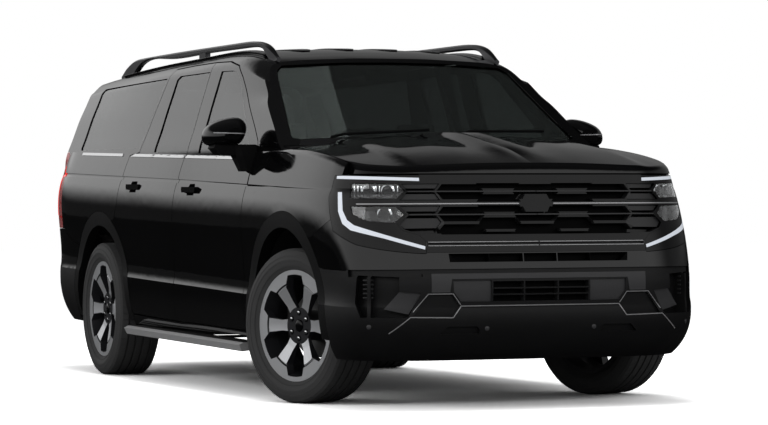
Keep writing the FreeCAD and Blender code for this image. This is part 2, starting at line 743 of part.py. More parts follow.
def front_cutters(outlines, floor):
    """Prisms of several front outlines that stop on an inner surface."""
    prisms = [front_cutter(outline, 2300, 3000) for outline in outlines]
    return prisms[0].fuse(prisms[1:]).cut(floor)


def build_grille(grille, deep, shallow):
    """Grille with its honeycomb, side panels and cross bars."""
    pitch = size("grille_pitch")
    cells = []
    for middle in (0.0, -2 * pitch):
        cells += [cell(middle, 1064, 1141), cell(middle, 953, 1027), cell(middle, 870, 939)]
    for middle in (pitch, -pitch):
        cells += [cell(middle, 1119, 1196), cell(middle, 1000, 1090, 93, 126)]
        cells += [cell(middle, 913, 972, 90, 116), cell(middle, 840, 900)]
    sides = [[(-712, 1144), (-521, 1144), (-552, 1104), (-521, 1060), (-726, 1060), (-682, 1106)],
             [(-726, 1032), (-521, 1032), (-552, 990), (-521, 950), (-545, 925), (-521, 892), (-650, 892),
              (-712, 914), (-732, 941), (-682, 988)]]
    panels = [[(-704, 1143), (-521, 1143), (-538, 1120), (-684, 1120)],
              [(-690, 1091), (-535, 1091), (-514, 1063), (-718, 1063)],
              [(-718, 1029), (-514, 1029), (-539, 1004), (-692, 1004)],
              [(-706, 969), (-532, 969), (-509, 945), (-536, 920), (-706, 918), (-728, 941)]]
    bars = [box(2300, 3000, -800, 100, low, high) for low, high in ((1101, 1108), (984, 991), (1034, 1051))]
    frame = [front_cutter([(-622, 1146), (60, 1146), (60, 1200), (-622, 1200)], 2300, 3000),
             front_cutter([(-650, 700), (60, 700), (60, 887), (-650, 887)], 2300, 3000)]
    inlets = front_cutters(cells, deep).fuse(front_cutters(sides, deep))
    raised = [front_cutter(panel, 2300, 3000).common(shallow) for panel in panels]
    inlets = inlets.cut(bars + frame + raised)
    rib = front_cutter([(-598, 836), (60, 836), (60, 844), (-602, 844)], 2300, 3000).cut(shallow)
    pad = front_cutter(cell(0, 1000, 1090, 60, 84), 2300, 3000).common(grille)
    grille = grille.cut([inlets, rib]).fuse(pad)
    keep("grille", joined(grille))


# Outlines of the clear lenses and the light guides, as points in space near the skin.
LENS_UPPER = [(2700, -708, 1107), (2675, -735, 1143), (2505, -918, 1147), (2505, -918, 1073),
              (2675, -735, 1070)]
LENS_LOWER = [(2700, -702, 988), (2675, -740, 1029), (2510, -916, 1031), (2525, -908, 990),
              (2600, -857, 956), (2690, -752, 948)]
GUIDE_TOP = [(2712, -623, 1157), (2712, -623, 1173), (2400, -956, 1188), (2400, -956, 1172)]
GUIDE_LOW = [(2430, -959, 1104), (2446, -958, 1005), (2492, -954, 944), (2560, -940, 911), (2690, -813, 870),
             (2767, -618, 813), (2767, -618, 829), (2692, -808, 888), (2572, -926, 936), (2520, -940, 962),
             (2480, -948, 1010), (2462, -950, 1104)]


def build_lamps(lamp, deep):
    """Headlamp housings with bowls, projectors, clear lenses and light guides."""
    bowls = [slant_cutter(outline).cut(deep) for outline in (LENS_UPPER, LENS_LOWER)]
    play = size("lamp_play")
    behind = lower_solid(size("panel_depth") + play)
    grooves = [slant_cutter(outline, grow=play).cut(behind) for outline in (GUIDE_TOP, GUIDE_LOW)]
    floor = lower_solid(size("panel_depth"))
    guides = [biggest(slant_cutter(outline).common(lamp).cut(floor)) for outline in (GUIDE_TOP, GUIDE_LOW)]
    housing = lamp.cut(bowls + grooves)
    units = []
    for x, y, z, radius in ((2640, -772, 1107, 27), (2570, -846, 1107, 27), (2640, -790, 990, 30)):
        units.append(Part.makeCylinder(radius, 44, Vector(x - 40, y + 27, z), Vector(.83, -.56, 0)))
    housing = biggest(housing.fuse(units))
    front = lower_solid(2)
    back = lower_solid(6)
    lenses = [biggest(slant_cutter(outline).common(front).cut(back)) for outline in (LENS_UPPER, LENS_LOWER)]
    keep("headlamps", pair(group(housing, *guides)))
    return lenses


def carve_bumper(bumper, deep, shallow):
    """Front bumper with its slot, lower intake, skid panels and corner pockets."""
    slot = [(-499, 791), (-451, 748), (451, 748), (499, 791)]
    intake = [(-266, 650), (-266, 549), (266, 549), (266, 650)]
    sheets = [[(-482, 656), (-479, 599), (-441, 551), (-274, 549), (-274, 656)],
              [(-606, 585), (-486, 585), (-446, 528), (-486, 474), (-690, 478)],
              [(-549, 387), (-510, 424), (-352, 424), (-338, 408), (-338, 387)]]
    reveal = [[(-960, 712), (-600, 714), (60, 714), (60, 694), (-600, 694), (-640, 690), (-640, 676),
               (-960, 676)]]
    corner = [(2625, -930, 684), (2752, -752, 675), (2752, -752, 603), (2790, -650, 594), (2765, -712, 471),
              (2640, -916, 472), (2617, -938, 544)]
    wedge = [(2752, -752, 603), (2790, -650, 594), (2765, -712, 488), (2700, -815, 514)]
    louvre = [(2650, -880, 690), (2662, -866, 690), (2662, -866, 465), (2650, -880, 465)]
    bars = [box(2300, 3000, -600, 600, low, high) for low, high in ((612, 619), (580, 587))]
    bars += [box(2300, 3000, y - 3, y + 3, 540, 800) for y in (-282, -94, 94, 282)]
    inlets = front_cutters([slot, intake], deep).cut(bars)
    pockets = slant_cutter(corner).cut([deep, slant_cutter(wedge).common(shallow), slant_cutter(louvre)])
    faces = front_cutters(sheets + reveal, shallow)
    carved = bumper.cut([inlets, pockets, faces])
    keep("front_bumper", joined(biggest(carved)))


def build_panels(skin):
    """Split the skin into panels and add what is fixed inside them."""
    gap = size("shut_gap")
    half = gap / 2.0
    front_x = size("front_axle_x")
    rear_x = size("rear_axle_x")
    ring = size("arch_radius") + size("moulding")
    front_door, rear_door = [outline_shifted(o, skin_at) for o in door_outlines()]
    windows = window_outlines()
    glass = panes()
    for end, outline, window, grip in (("front", front_door, windows[0], (195, 1132)),
                                       ("rear", rear_door, windows[1], (-881, 1156))):
        slab = skin.common(side_cutter(outline, -half))
        if end == "rear":
            slab = slab.cut(arch_cutter(rear_x, ring + gap, 500))
        slab = slab.cut(half_space_box(z1=size("sill_z") - 60))
        bowl, bar = door_handle(*grip)
        door = biggest(slab.cut([side_cutter(window, 0, -1150, -500, False), bowl]).fuse(bar))
        pane = glass.common(side_cutter(window, 12, -1150, -500, False))
        keep("door_%s_right" % end, door)
        keep("door_%s_left" % end, mirrored(door))
        keep("door_glass_%s_right" % end, pane)
        keep("door_glass_%s_left" % end, mirrored(pane))
    wheels = [arch_cutter(x, ring + 1, 500) for x in (front_x, rear_x)]
    rocker_low = box(rear_x + ring, front_x - ring, -1150, -600, 200, 332)
    rest = skin.cut([side_cutter(front_door, half), side_cutter(rear_door, half), rocker_low] + wheels)
    hood = rest.common(plan_cutter(hood_outline(), 1196, 1700, -half))
    nose = rest.cut(plan_cutter(hood_outline(), 1190, 1700, half)).common(half_space_box(x0=1102))
    lamp = nose.common(side_cutter(lamp_outline(), -1.5, -1150, -613.5, False)).cut(
        front_cutter(grille_outline(), 2500, 3000, 1))
    grille = nose.common(front_cutter(grille_outline(), 2560, 3000))
    nose = nose.cut([side_cutter(lamp_outline(), 1.5, -1150, -612, False),
                     front_cutter(grille_outline(), 2560, 3000, 1.5)])
    cowl_plan = [(1000, 60), (1000, -1200), (1138, -1200), (1138, -888), (1574, -888), (1574, 60)]
    cowl_zone = plan_cutter(cowl_plan, 1150, 1372).fuse(box(1000, 1700, -1200, 60, 1372, 2100))
    cowl = nose.common(cowl_zone)
    nose = nose.cut(cowl_zone)
    split = [(2416, 1300), (2416, 968), (2110, 842), (2110, 100), (3200, 100), (3200, 1300)]
    bumper = nose.common(side_cutter(split, -1, -1300, 200, False))
    fender = nose.cut(side_cutter(split, 1, -1300, 200, False))
    keep("hood", joined(hood))
    deep = lower_solid(size("face_depth"))
    shallow = lower_solid(size("panel_depth"))
    lenses = build_lamps(biggest(lamp), deep)
    build_grille(biggest(grille), deep, shallow)
    carve_bumper(biggest(bumper), deep, shallow)
    cabin = rest.common(half_space_box(x1=1102))
    gate_zone = front_cutter(gate_outline(), -3000, -2500, -half)
    gate_clear = front_cutter(gate_outline(), -3000, -2500 + half, half)
    gate = cabin.common(gate_zone)
    pane = upright_pane(lambda y, z: gate_x(y, z, 7), 6, gate_window())
    gate = gate.cut(front_cutter(gate_window(), -3000, -2480))
    plate = front_cutter([(60, 905), (-262, 905), (-290, 940), (-290, 1075), (-262, 1095), (60, 1095)],
                         -3000, -2500).cut(shallow)
    gate = biggest(gate.cut(plate))
    keep("liftgate", joined(gate))
    keep("liftgate_glass", pane)
    cabin = cabin.cut(gate_clear)
    bumper_side = [(-1880, 100), (-1880, 785), (-2180, 826), (-2360, 900), (-3000, 900), (-3000, 100)]
    tail_side = [(-2560, 1394), (-2440, 1240), (-2420, 1000), (-2420, 904), (-3000, 904), (-3000, 1394)]
    rear_bumper = cabin.common(side_cutter(bumper_side, -1, -1300, 200, False))
    lamp = cabin.common(side_cutter(tail_side, -1, -1300, -700, False))
    cabin = cabin.cut([side_cutter(bumper_side, 1, -1300, 200, False),
                       side_cutter(tail_side, 1, -1300, 60, False)])
    valance = front_cutter([(60, 330), (-560, 330), (-640, 400), (-640, 470), (-560, 500), (60, 500)],
                           -3000, -2400).cut(shallow)
    step = front_cutter([(60, 640), (-900, 640), (-900, 655), (60, 655)], -3000, -2400).cut(shallow)
    receiver = box(-3000, -2600, -38, 60, 372, 446)
    rear_bumper = biggest(rear_bumper).cut([valance, step, receiver])
    keep("rear_bumper", joined(biggest(rear_bumper)))
    keep("tail_lamps", pair(biggest(lamp)))
    shell = cabin.fuse(cowl)
    screen = front_cutter(screen_outline(), 560, 1700)
    quarter = side_cutter(windows[2], 0, -1150, -500, False)
    roof_zone = box(-2440, 640, -640, 10, 1800, 2100)
    roof = shell.common(box(-2440 + 2, 640 - 2, -638, 10, 1800, 2100))
    shell = shell.cut([screen, quarter, roof_zone])
    screen_pane = upright_pane(lambda y, z: screen_x(y, z, 13), -11, screen_outline())
    quarter_pane = glass.common(side_cutter(windows[2], 12, -1150, -500, False))
    side_glass = group(quarter_pane, *lenses)
    keep("fixed_glass", group(screen_pane, side_glass, mirrored(side_glass)))
    keep("roof_panel", joined(roof))
    floor_z = size("floor_z")
    plate = size("floor_plate")
    inner = size("arch_radius") + 5
    sill = box(rear_x + ring + 8, 1098, -900, -850, 336, floor_z)
    sill_foot = box(rear_x + ring + 8, 1098, -930, -880, 336, 352)
    floor_plan = [(-2640, 0), (-2640, -600), (-2560, -760), (-2440, -846), (-2200, -870), (1380, -870),
                  (1380, 0)]
    floor = plan_cutter(floor_plan, floor_z - plate, floor_z)
    wall = box(1370, 1382, -880, 0, floor_z - plate, 1350)
    cowl_plate = box(1370, 1480, -880, 0, 1338, 1350)
    hinge_post = box(1146, 1376, -884, -850, 400, 1330)
    post = front_cutter([(-850, floor_z - 4), (-800, floor_z - 4), (-800, 1300), (-640, 1888), (-676, 1888),
                         (-698, 1850), (-722, 1800), (-838, 1310)], -130, -50)
    tub = across(rear_x, size("tyre_radius"), inner + 6, -945, -604).cut(
        across(rear_x, size("tyre_radius"), inner, -960, -610)).cut(half_space_box(z1=floor_z - plate))
    house = across(rear_x, size("tyre_radius"), inner + 3, -1000, -607)
    front_house = across(front_x, size("tyre_radius"), inner + 7, -1000, -464)
    floor = floor.cut([house, front_house])
    inside_parts = [sill, sill_foot, floor, wall, cowl_plate, hinge_post, post, tub]
    shell = shell.fuse(inside_parts)
    shell = shell.cut(front_house.common(half_space_box(z1=1400)))
    keep("body_shell", joined(biggest(shell)))
    front_tub = across(front_x, size("tyre_radius"), inner + 6, -945, -466).cut(
        across(front_x, size("tyre_radius"), inner, -960, -472)).cut(
        half_space_box(z1=560)).cut(box(front_x - 700, front_x + 700, -480, 100, 100, 640))
    fender = biggest(fender).cut(half_space_box(z1=300))
    fender = group(*[part for part in fender.fuse(front_tub).Solids if part.Volume > 1e6])
    keep("front_fenders", pair(fender))
    rings = []
    for x in (front_x, rear_x):
        band = across(x, size("tyre_radius"), ring - 1, -1150, -880).cut(
            across(x, size("tyre_radius"), size("arch_radius"), -1150, -800))
        liner = across(x, size("tyre_radius"), inner + 6, -945, -700)
        band = skin.common(band).cut([half_space_box(z1=350), liner])
        rings.append(biggest(band))
    keep("arch_mouldings", group(rings[0], rings[1], mirrored(rings[0]), mirrored(rings[1])))


def door_handle(x, z):
    """Bowl in a door's skin and the bar that bridges it."""
    skin_y = -skin_at(z)
    depth = size("handle_depth")
    radius = (60.0 ** 2 + depth ** 2) / (2 * depth)
    bowl = Part.makeSphere(radius, Vector(x, skin_y + depth - radius, z)).common(
        box(x - 62, x + 62, skin_y - 60, skin_y + 60, z - 33, z + 33))
    outline = [(x - 118, z - 15), (x + 112, z - 17), (x + 120, z), (x + 112, z + 15), (x - 118, z + 17),
               (x - 124, z + 2)]
    bar = side_cutter(outline, 0, skin_y - 22, skin_y + 6, False)
    bar = bar.cut(box(x - 96, x + 96, skin_y - 8, skin_y + 60, z - 30, z + 30))
    return bowl, bar


def biggest(shape):
    """The largest solid of a shape."""
    return max(shape.Solids, key=lambda solid: solid.Volume)


def build_chassis():
    """Frame, engine, exhaust, suspension, boards and spare wheel."""
    front_x = size("front_axle_x")
    rear_x = size("rear_axle_x")
    rail = box(-2640, 2560, -460, -380, 330, 430)
    members = [box(x - 40, x + 40, -400, 0, 340, 420) for x in (-2600, -1780, -1250, 300, 1250, 2480)]
    brackets = [box(x - 30, x + 30, -895, -440, 282 - .0133 * x, 296 - .0133 * x).fuse(
        box(x - 30, x + 30, -470, -440, 282 - .0133 * x, 350)) for x in (-800, 100, 1000)]
    towers = []
    mounts = [(front_x, 210, 235, 335), (front_x, 130, 425, 590), (rear_x, 220, 290, 335)]
    for axle, spread, low, high in mounts:
        towers += [box(axle + way * spread - 30, axle + way * spread + 30, -470, -410, low, high)
                   for way in (-1, 1)]
    keep("chassis_frame", joined(rail.fuse(members + brackets + towers)))
    PIECES["engine"] = feature("Box", "engine", Length="Sizes.engine_length", Width="Sizes.engine_width",
                               Height="Sizes.engine_height", Placement__Base__x="Sizes.engine_x",
                               Placement__Base__y="-Sizes.engine_width / 2",
                               Placement__Base__z="Sizes.engine_z")
    pipe = rod([Vector(1600, -200, 398), Vector(1400, -250, 298), Vector(-1790, -250, 292),
                Vector(-1900, -600, 284), Vector(-2020, -620, 288)], 32)
    can = Part.makeCylinder(92, 560, Vector(-2560, -620, 292), Vector(1, 0, 0))
    tail = rod([Vector(-2540, -620, 290), Vector(-2600, -630, 276), Vector(-2745, -640, 274)], 32)
    keep("exhaust", pipe.fuse([can, tail]))
    keep("front_suspension", group(*[s for part in front_arms() for s in (part, mirrored(part))]))
    rear = rear_arms()
    keep("rear_suspension", pair(rear))
    board_top = size("board_z")
    deep = size("board_depth")
    start = rear_x + size("arch_radius") + size("moulding") + 12
    stop = front_x - size("arch_radius") - size("moulding") - 12
    section = [(-895, board_top), (-1016, board_top), (-1040, board_top - 12), (-1022, board_top - deep),
               (-895, board_top - deep + 14)]
    wire = Part.makePolygon([Vector(start, y, z - .0133 * start) for y, z in section + section[:1]])
    board = Part.Face(wire).extrude(Vector(stop - start, 0, -.0133 * (stop - start)))
    keep("running_boards", pair(board))
    build_spare()


def build_spare():
    """Spare wheel, flat under the tail: a disc with a centre hole."""
    disc = feature("Cylinder", "spare_disc", Radius="Sizes.spare_radius", Height="Sizes.spare_width",
                   Placement__Base__x="Sizes.spare_x", Placement__Base__z="Sizes.spare_z")
    hole = feature("Cylinder", "spare_hole", Radius="Sizes.spare_bore", Height="Sizes.spare_width + 40",
                   Placement__Base__x="Sizes.spare_x", Placement__Base__z="Sizes.spare_z - 20")
    PIECES["spare_wheel"] = feature("Cut", "spare_wheel")
    PIECES["spare_wheel"].Base = disc
    PIECES["spare_wheel"].Tool = hole


def build_wheels():
    """Tyres, rims and the steered hub carriers."""
    tyre = tyre_shape()
    rim = rim_shape()
    carrier = knuckle_shape()
    for end, axle in (("front", size("front_axle_x")), ("rear", size("rear_axle_x"))):
        for name, side in (("right", -1), ("left", 1)):
            place = wheel_place(axle, side, end == "front")
            keep("tyre_%s_%s" % (end, name), handed(tyre, side), place)
            keep("rim_%s_%s" % (end, name), handed(rim, side), place)
            if end == "front":
                keep("knuckle_%s" % name, handed(carrier, side), place)


def roof_rail():
    """Right roof rail: a slim bar whose ends and one foot go down into the roof."""
    top_z = size("rail_z")
    y = -size("rail_y")
    stations = [(770, 106, 136), (735, 88, 138), (660, 52, 122), (560, 22, 62), (440, 6, 38), (200, 0, 34),
                (-500, 1, 34), (-1200, 4, 34), (-1660, 9, 38), (-1800, 14, 80), (-1900, 28, 122),
                (-2010, 58, 134), (-2098, 88, 134), (-2124, 98, 130)]
    sections = []
    for x, drop, low in stations:
        high = top_z - drop
        under = top_z - low
        half = 19 if -2050 < x < 700 else 13
        ring = [(half - 9, high), (half, high - 9), (half, under + 9), (half - 9, under), (9 - half, under),
                (-half, under + 9), (-half, high - 9), (9 - half, high)]
        points = [Vector(x, y + across_y, z) for across_y, z in ring]
        sections.append(Part.makePolygon(points + points[:1]))
    bar = Part.makeLoft(sections, True, False)
    foot = box(-570, -450, y - 15, y + 15, top_z - 82, top_z - 20)
    return bar.fuse(foot)


def build_cabin(outer):
    """Seats, dashboard, steering wheel and the small outer parts."""
    seats = [seat(520, -400, 540), seat(520, 400, 540), seat(-440, -420, 540), seat(-440, 420, 540),
             seat(-1420, -310, 560), seat(-1420, 310, 560)]
    keep("seats", group(*seats))
    dash = side_cutter([(1370, 1290), (1370, 820), (1180, 780), (1080, 900), (1060, 1180), (1130, 1250)],
                       0, -800, 800, False)
    keep("dashboard", dash)
    build_steering_wheel(dash)
    keep("roof_rails", pair(roof_rail()))
    right_arm = [Vector(1512, -640, 1404), Vector(1498, -560, 1422), Vector(1485, -60, 1446)]
    left_arm = [Vector(1536, 40, 1416), Vector(1494, 200, 1440), Vector(1451, 640, 1442)]
    keep("wipers", group(rod(right_arm, 8), rod(left_arm, 8)))
    mirror = mirror_shape().cut(outer)
    keep("mirror_right", mirror)
    keep("mirror_left", mirrored(mirror))


def build_steering_wheel(dashboard):
    """Ring, hub, spokes and column, tilted as one and ended at the dashboard."""
    radius = size("steering_ring")
    reach = radius - 6
    ring = Part.makeTorus(radius, size("steering_grip"), Vector(0, 0, 0), Vector(0, 0, 1))
    hub = Part.makeCylinder(62, 40, Vector(0, 0, -20))
    spokes = [box(-reach, reach, -16, 16, -10, 10), box(-14, 14, -reach, 0, -10, 10)]
    column = Part.makeCylinder(size("column_radius"), size("column_length"), Vector(0, 0, -10))
    wheel = ring.fuse([hub, column] + spokes)
    wheel.rotate(Vector(0, 0, 0), Vector(0, 0, 1), -90)
    wheel.rotate(Vector(0, 0, 0), Vector(0, 1, 0), size("steering_tilt"))
    wheel.translate(Vector(size("steering_x"), size("steering_y"), size("steering_z")))
    keep("steering_wheel", wheel.cut(dashboard))


def mirror_shape():
    """Right mirror: a rounded housing hollowed for its glass, on an arm and a wedge at the door's corner."""
    rear_x = size("mirror_x") - 76
    end_y = size("mirror_y")
    outline = [(1, 1446), (16, 1468), (76, 1503), (146, 1520), (200, 1514), (224, 1488), (227, 1455),
               (214, 1415), (186, 1376), (110, 1364), (46, 1365), (4, 1380)]
    middle = (122.0, 1436.0)

    def section(along, share, lower=0.0):
        """Closed smooth outline of the housing at one place along X."""
        points = [Vector(rear_x + along, -end_y + middle[0] + (a - middle[0]) * share,
                         middle[1] + (b - middle[1]) * share - lower) for a, b in outline]
        curve = Part.BSplineCurve()
        curve.interpolate(Points=points, PeriodicFlag=True)
        return Part.Wire([curve.toShape()])

    head = Part.makeLoft([section(0, .965), section(22, 1), section(80, .98), section(130, .86, 3),
                          section(168, .66, 7), section(190, .42, 10)], True, False)
    hollow = Part.Face(section(0, .90)).extrude(Vector(8, 0, 0))
    low_arm = [(-end_y + 26, 1352), (-end_y + 58, 1318), (-940, 1306), (-900, 1372), (-end_y + 34, 1372)]
    arm = prism([Vector(rear_x + 24, y, z) for y, z in low_arm], Vector(104, 0, 0))
    wedge = [Part.makePolygon([Vector(x0, -900, z), Vector(x0 + 8, y, z), Vector(x1 - 22, y, z),
                               Vector(x1, y + 30, z), Vector(x1, -900, z), Vector(x0, -900, z)])
             for x0, x1, y, z in ((rear_x + 24, rear_x + 152, -1046, 1368),
                                  (rear_x + 40, rear_x + 158, -1036, 1310),
                                  (rear_x + 84, rear_x + 160, -1008, 1225))]
    foot = Part.makeLoft(wedge, True, True)
    return head.cut(hollow).fuse([arm, foot])


def check_pieces():
    """Stop when a piece is broken or empty."""
    DOC.recompute()
    for name, piece in PIECES.items():
        state = [word for word in piece.State if word in ("Invalid", "Error")]
        if state or piece.Shape.isNull() or not piece.Shape.isValid() or not piece.Shape.Solids:
            raise RuntimeError("piece %s is not sound" % name)


def export_pieces():
    """Write one file for each piece."""
    os.makedirs("parts", exist_ok=True)
    for name, piece in PIECES.items():
        piece.Shape.exportStep("parts/%s.step" % name)


if __name__ == "__main__":
    outer_body, body_skin = build_skin()
    build_panels(body_skin)
    build_chassis()
    build_wheels()
    build_cabin(outer_body)
    check_pieces()
    export_pieces()
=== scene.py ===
"""Looks of the family suv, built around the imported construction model.

Each sub-assembly is a class that dresses its construction nodes and adds its own trim.
Lengths are metres in the shared frame: +X to the nose, +Y to the left, +Z up.
"""

import json
import logging
import math
from dataclasses import dataclass
from enum import Enum
from typing import Callable, Optional, Sequence

import bmesh
import bpy
from mathutils import Euler, Matrix, Vector

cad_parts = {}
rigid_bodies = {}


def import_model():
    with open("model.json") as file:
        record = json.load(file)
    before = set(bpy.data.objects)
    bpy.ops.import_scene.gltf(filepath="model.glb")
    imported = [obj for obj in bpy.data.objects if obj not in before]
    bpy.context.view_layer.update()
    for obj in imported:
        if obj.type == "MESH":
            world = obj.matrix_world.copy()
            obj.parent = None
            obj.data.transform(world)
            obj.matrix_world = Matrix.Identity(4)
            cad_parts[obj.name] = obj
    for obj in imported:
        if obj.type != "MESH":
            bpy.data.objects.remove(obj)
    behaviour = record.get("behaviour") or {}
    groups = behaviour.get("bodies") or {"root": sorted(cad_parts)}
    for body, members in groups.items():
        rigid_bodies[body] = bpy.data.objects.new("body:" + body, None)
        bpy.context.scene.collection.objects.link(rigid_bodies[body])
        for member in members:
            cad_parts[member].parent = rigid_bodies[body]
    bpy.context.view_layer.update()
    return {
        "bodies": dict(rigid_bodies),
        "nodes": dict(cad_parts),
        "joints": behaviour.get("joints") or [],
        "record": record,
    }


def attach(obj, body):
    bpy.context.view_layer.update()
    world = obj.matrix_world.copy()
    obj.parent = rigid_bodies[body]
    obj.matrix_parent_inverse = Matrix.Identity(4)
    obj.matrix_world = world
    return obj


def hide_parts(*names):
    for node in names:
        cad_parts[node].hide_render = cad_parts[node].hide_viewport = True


LOG = logging.getLogger("suv")

Colour = tuple[float, float, float]
Point = tuple[float, float, float]
Range = tuple[float, float]
Flat = Sequence[tuple[float, float]]
Key = tuple[int, int, int]
Nodes = dict[str, bpy.types.Object]
Inputs = dict[str | int, object]
Test = Callable[[Vector, Vector], bool]

ANY: Range = (-math.inf, math.inf)
MERGE = 1e-5


def above(value: float) -> Range:
    """Range that is open upwards."""
    return value, math.inf


def below(value: float) -> Range:
    """Range that is open downwards."""
    return -math.inf, value


class Side(Enum):
    """Side of the vehicle, with the sign of its Y."""

    RIGHT = -1
    LEFT = 1

    @property
    def word(self) -> str:
        """Name used in node and body names."""
        return self.name.lower()


class Pattern(Enum):
    """Fine structure of a finish, with the detail of its noise; hide has cells instead."""

    GRAIN = 2.0
    CAST = 6.0
    HIDE = 0.0


class Wiring:
    """Node tree that is wired up node by node.

    Args:
        tree: Node tree of a material or world.
    """

    def __init__(self, tree: bpy.types.NodeTree) -> None:
        """Keep the tree and its shader."""
        self.tree = tree
        self.shader = tree.nodes.get("Principled BSDF") or tree.nodes.get("Background")

    def feed(self, node: bpy.types.Node, inputs: Inputs) -> bpy.types.Node:
        """Set or link inputs of a node.

        Args:
            node: The node.
            inputs: A value, or the socket to link, for each input.

        Returns:
            The node.
        """
        for key, value in inputs.items():
            if isinstance(value, bpy.types.NodeSocket):
                self.tree.links.new(value, node.inputs[key])
            else:
                node.inputs[key].default_value = value
        return node

    def add(self, kind: str, inputs: Optional[Inputs] = None, **settings: str) -> bpy.types.Node:
        """Add a node.

        Args:
            kind: Kind of node.
            inputs: A value, or the socket to link, for each input.
            settings: Settings of the node itself.

        Returns:
            The node.
        """
        node = self.tree.nodes.new(f"ShaderNode{kind}")
        for name, value in settings.items():
            setattr(node, name, value)
        return self.feed(node, inputs or {})


@dataclass(frozen=True)
class Surface:
    """What all finishes have.

    Args:
        name: Material name.
        colour: Colour, linear.
    """

    name: str
    colour: Colour

    def material(self) -> bpy.types.Material:
        """Material of this finish, made once."""
        made = bpy.data.materials.get(self.name)
        if made is None:
            made = bpy.data.materials.new(self.name)
            made.use_nodes = True
            tree = Wiring(made.node_tree)
            self.wire(tree, tree.add("TexCoord").outputs["Object"])
        return made

    def wire(self, tree: Wiring, place: bpy.types.NodeSocket) -> None:
        """Wire the material up.

        Args:
            tree: Its nodes.
            place: Object coordinates.
        """
        raise NotImplementedError

    def mottle(self, tree: Wiring, second: Colour, noise: Inputs) -> bpy.types.NodeSocket:
        """Let a soft noise mix a second colour in.

        Args:
            tree: Nodes of the material.
            second: The second colour.
            noise: Inputs of the noise.

        Returns:
            Strength of the noise.
        """
        strength = tree.add("TexNoise", noise).outputs["Fac"]
        mix = tree.add("Mix", {"A": (*self.colour, 1.0), "B": (*second, 1.0), "Factor": strength},
                       data_type="RGBA")
        tree.feed(tree.shader, {"Base Color": mix.outputs["Result"]})
        return strength


@dataclass(frozen=True)
class Finish(Surface):
    """Opaque finish made of procedural nodes.

    Args:
        second: Colour that a soft noise mixes in.
        metallic: Metal share.
        roughness: Middle roughness.
        spread: How far the roughness wanders.
        specular: Specular level.
        bump: Fine structure, its repeats per metre and its depth in metres.
    """

    second: Optional[Colour] = None
    metallic: float = 0.0
    roughness: float = 0.5
    spread: float = 0.04
    specular: float = 0.5
    bump: Optional[tuple[Pattern, float, float]] = None

    def wire(self, tree: Wiring, place: bpy.types.NodeSocket) -> None:
        """Wire the colour, the roughness and the fine structure.

        Args:
            tree: Nodes of the material.
            place: Object coordinates.
        """
        second = self.second or self.colour
        strength = self.mottle(tree, second, {"Vector": place, "Scale": 7.0, "Detail": 4.0})
        rough = tree.add("MapRange", {"Value": strength, "To Min": max(0.0, self.roughness - self.spread),
                                      "To Max": min(1.0, self.roughness + self.spread)})
        tree.feed(tree.shader, {"Metallic": self.metallic, "Specular IOR Level": self.specular,
                                "Roughness": rough.outputs["Result"]})
        if self.bump is None:
            return
        pattern, scale, depth = self.bump
        if pattern is Pattern.HIDE:
            fine = tree.add("TexVoronoi", {"Vector": place, "Scale": scale}, feature="DISTANCE_TO_EDGE")
            height = fine.outputs["Distance"]
        else:
            fine = tree.add("TexNoise", {"Vector": place, "Scale": scale, "Detail": pattern.value})
            height = fine.outputs["Fac"]
        bump = tree.add("Bump", {"Strength": 0.6, "Distance": depth, "Height": height})
        tree.feed(tree.shader, {"Normal": bump.outputs["Normal"]})


@dataclass(frozen=True)
class Glass(Surface):
    """Clear or tinted glass.

    Args:
        ior: How much it bends light.
    """

    ior: float = 1.45

    def wire(self, tree: Wiring, place: bpy.types.NodeSocket) -> None:
        """Wire glass with a hardly visible change of tint.

        Args:
            tree: Nodes of the material.
            place: Object coordinates.
        """
        self.mottle(tree, tuple(0.94 * part for part in self.colour), {"Vector": place, "Scale": 3.0})
        tree.feed(tree.shader, {"Roughness": 0.0, "Transmission Weight": 1.0, "IOR": self.ior})


@dataclass(frozen=True)
class Light(Surface):
    """Surface that shines a little, such as a lit light guide.

    Args:
        strength: Strength of its light.
    """

    strength: float = 0.5

    def wire(self, tree: Wiring, place: bpy.types.NodeSocket) -> None:
        """Wire a shining surface.

        Args:
            tree: Nodes of the material.
            place: Object coordinates.
        """
        self.mottle(tree, tuple(0.9 * part for part in self.colour), {"Vector": place, "Scale": 20.0})
        tree.feed(tree.shader, {"Roughness": 0.2, "Emission Color": (*self.colour, 1.0),
                                "Emission Strength": self.strength})


PAINT = Finish("black_paint", (0.0014, 0.0014, 0.0016), (0.0019, 0.0019, 0.0021), roughness=0.06,
               spread=0.015, specular=0.48)
GLOSS_BLACK = Finish("gloss_black_plastic", (0.0022, 0.0022, 0.0025), roughness=0.14, spread=0.03,
                     specular=0.28)
# Black of the mesh behind the openings, made darkest and hardly reflecting as painted shade in the grille
# cells and bumper slots.
BLACK_MESH_AND_PAINTED_SHADE = Finish("deep_black_mesh", (0.0012, 0.0012, 0.0013), roughness=0.60, specular=0.08)
# Grey of the wing fields and corner slats; on step walls and along the grille bars it is a painted highlight.
GREY_TRIM_AND_PAINTED_HIGHLIGHT = Finish("grille_edge_grey", (0.020, 0.020, 0.021), (0.025, 0.025, 0.026), roughness=0.34,
                   specular=0.4)
SATIN_BLACK = Finish("satin_black_plastic", (0.0055, 0.0055, 0.006), (0.0075, 0.0075, 0.008), roughness=0.42,
                     specular=0.3, bump=(Pattern.GRAIN, 900.0, 0.0001))
PLATE_GREY = Finish("satin_grey_panel", (0.032, 0.032, 0.034), (0.038, 0.038, 0.040), roughness=0.40,
                    bump=(Pattern.GRAIN, 1100.0, 0.00005))
MATT_BLACK = Finish("matt_black_plastic", (0.0028, 0.0028, 0.0031), (0.0040, 0.0040, 0.0043), roughness=0.60,
                    specular=0.12, bump=(Pattern.GRAIN, 700.0, 0.0002))
BOARD_GREY = Finish("board_plastic", (0.29, 0.29, 0.295), (0.33, 0.33, 0.335), roughness=0.46,
                    bump=(Pattern.GRAIN, 800.0, 0.0002))
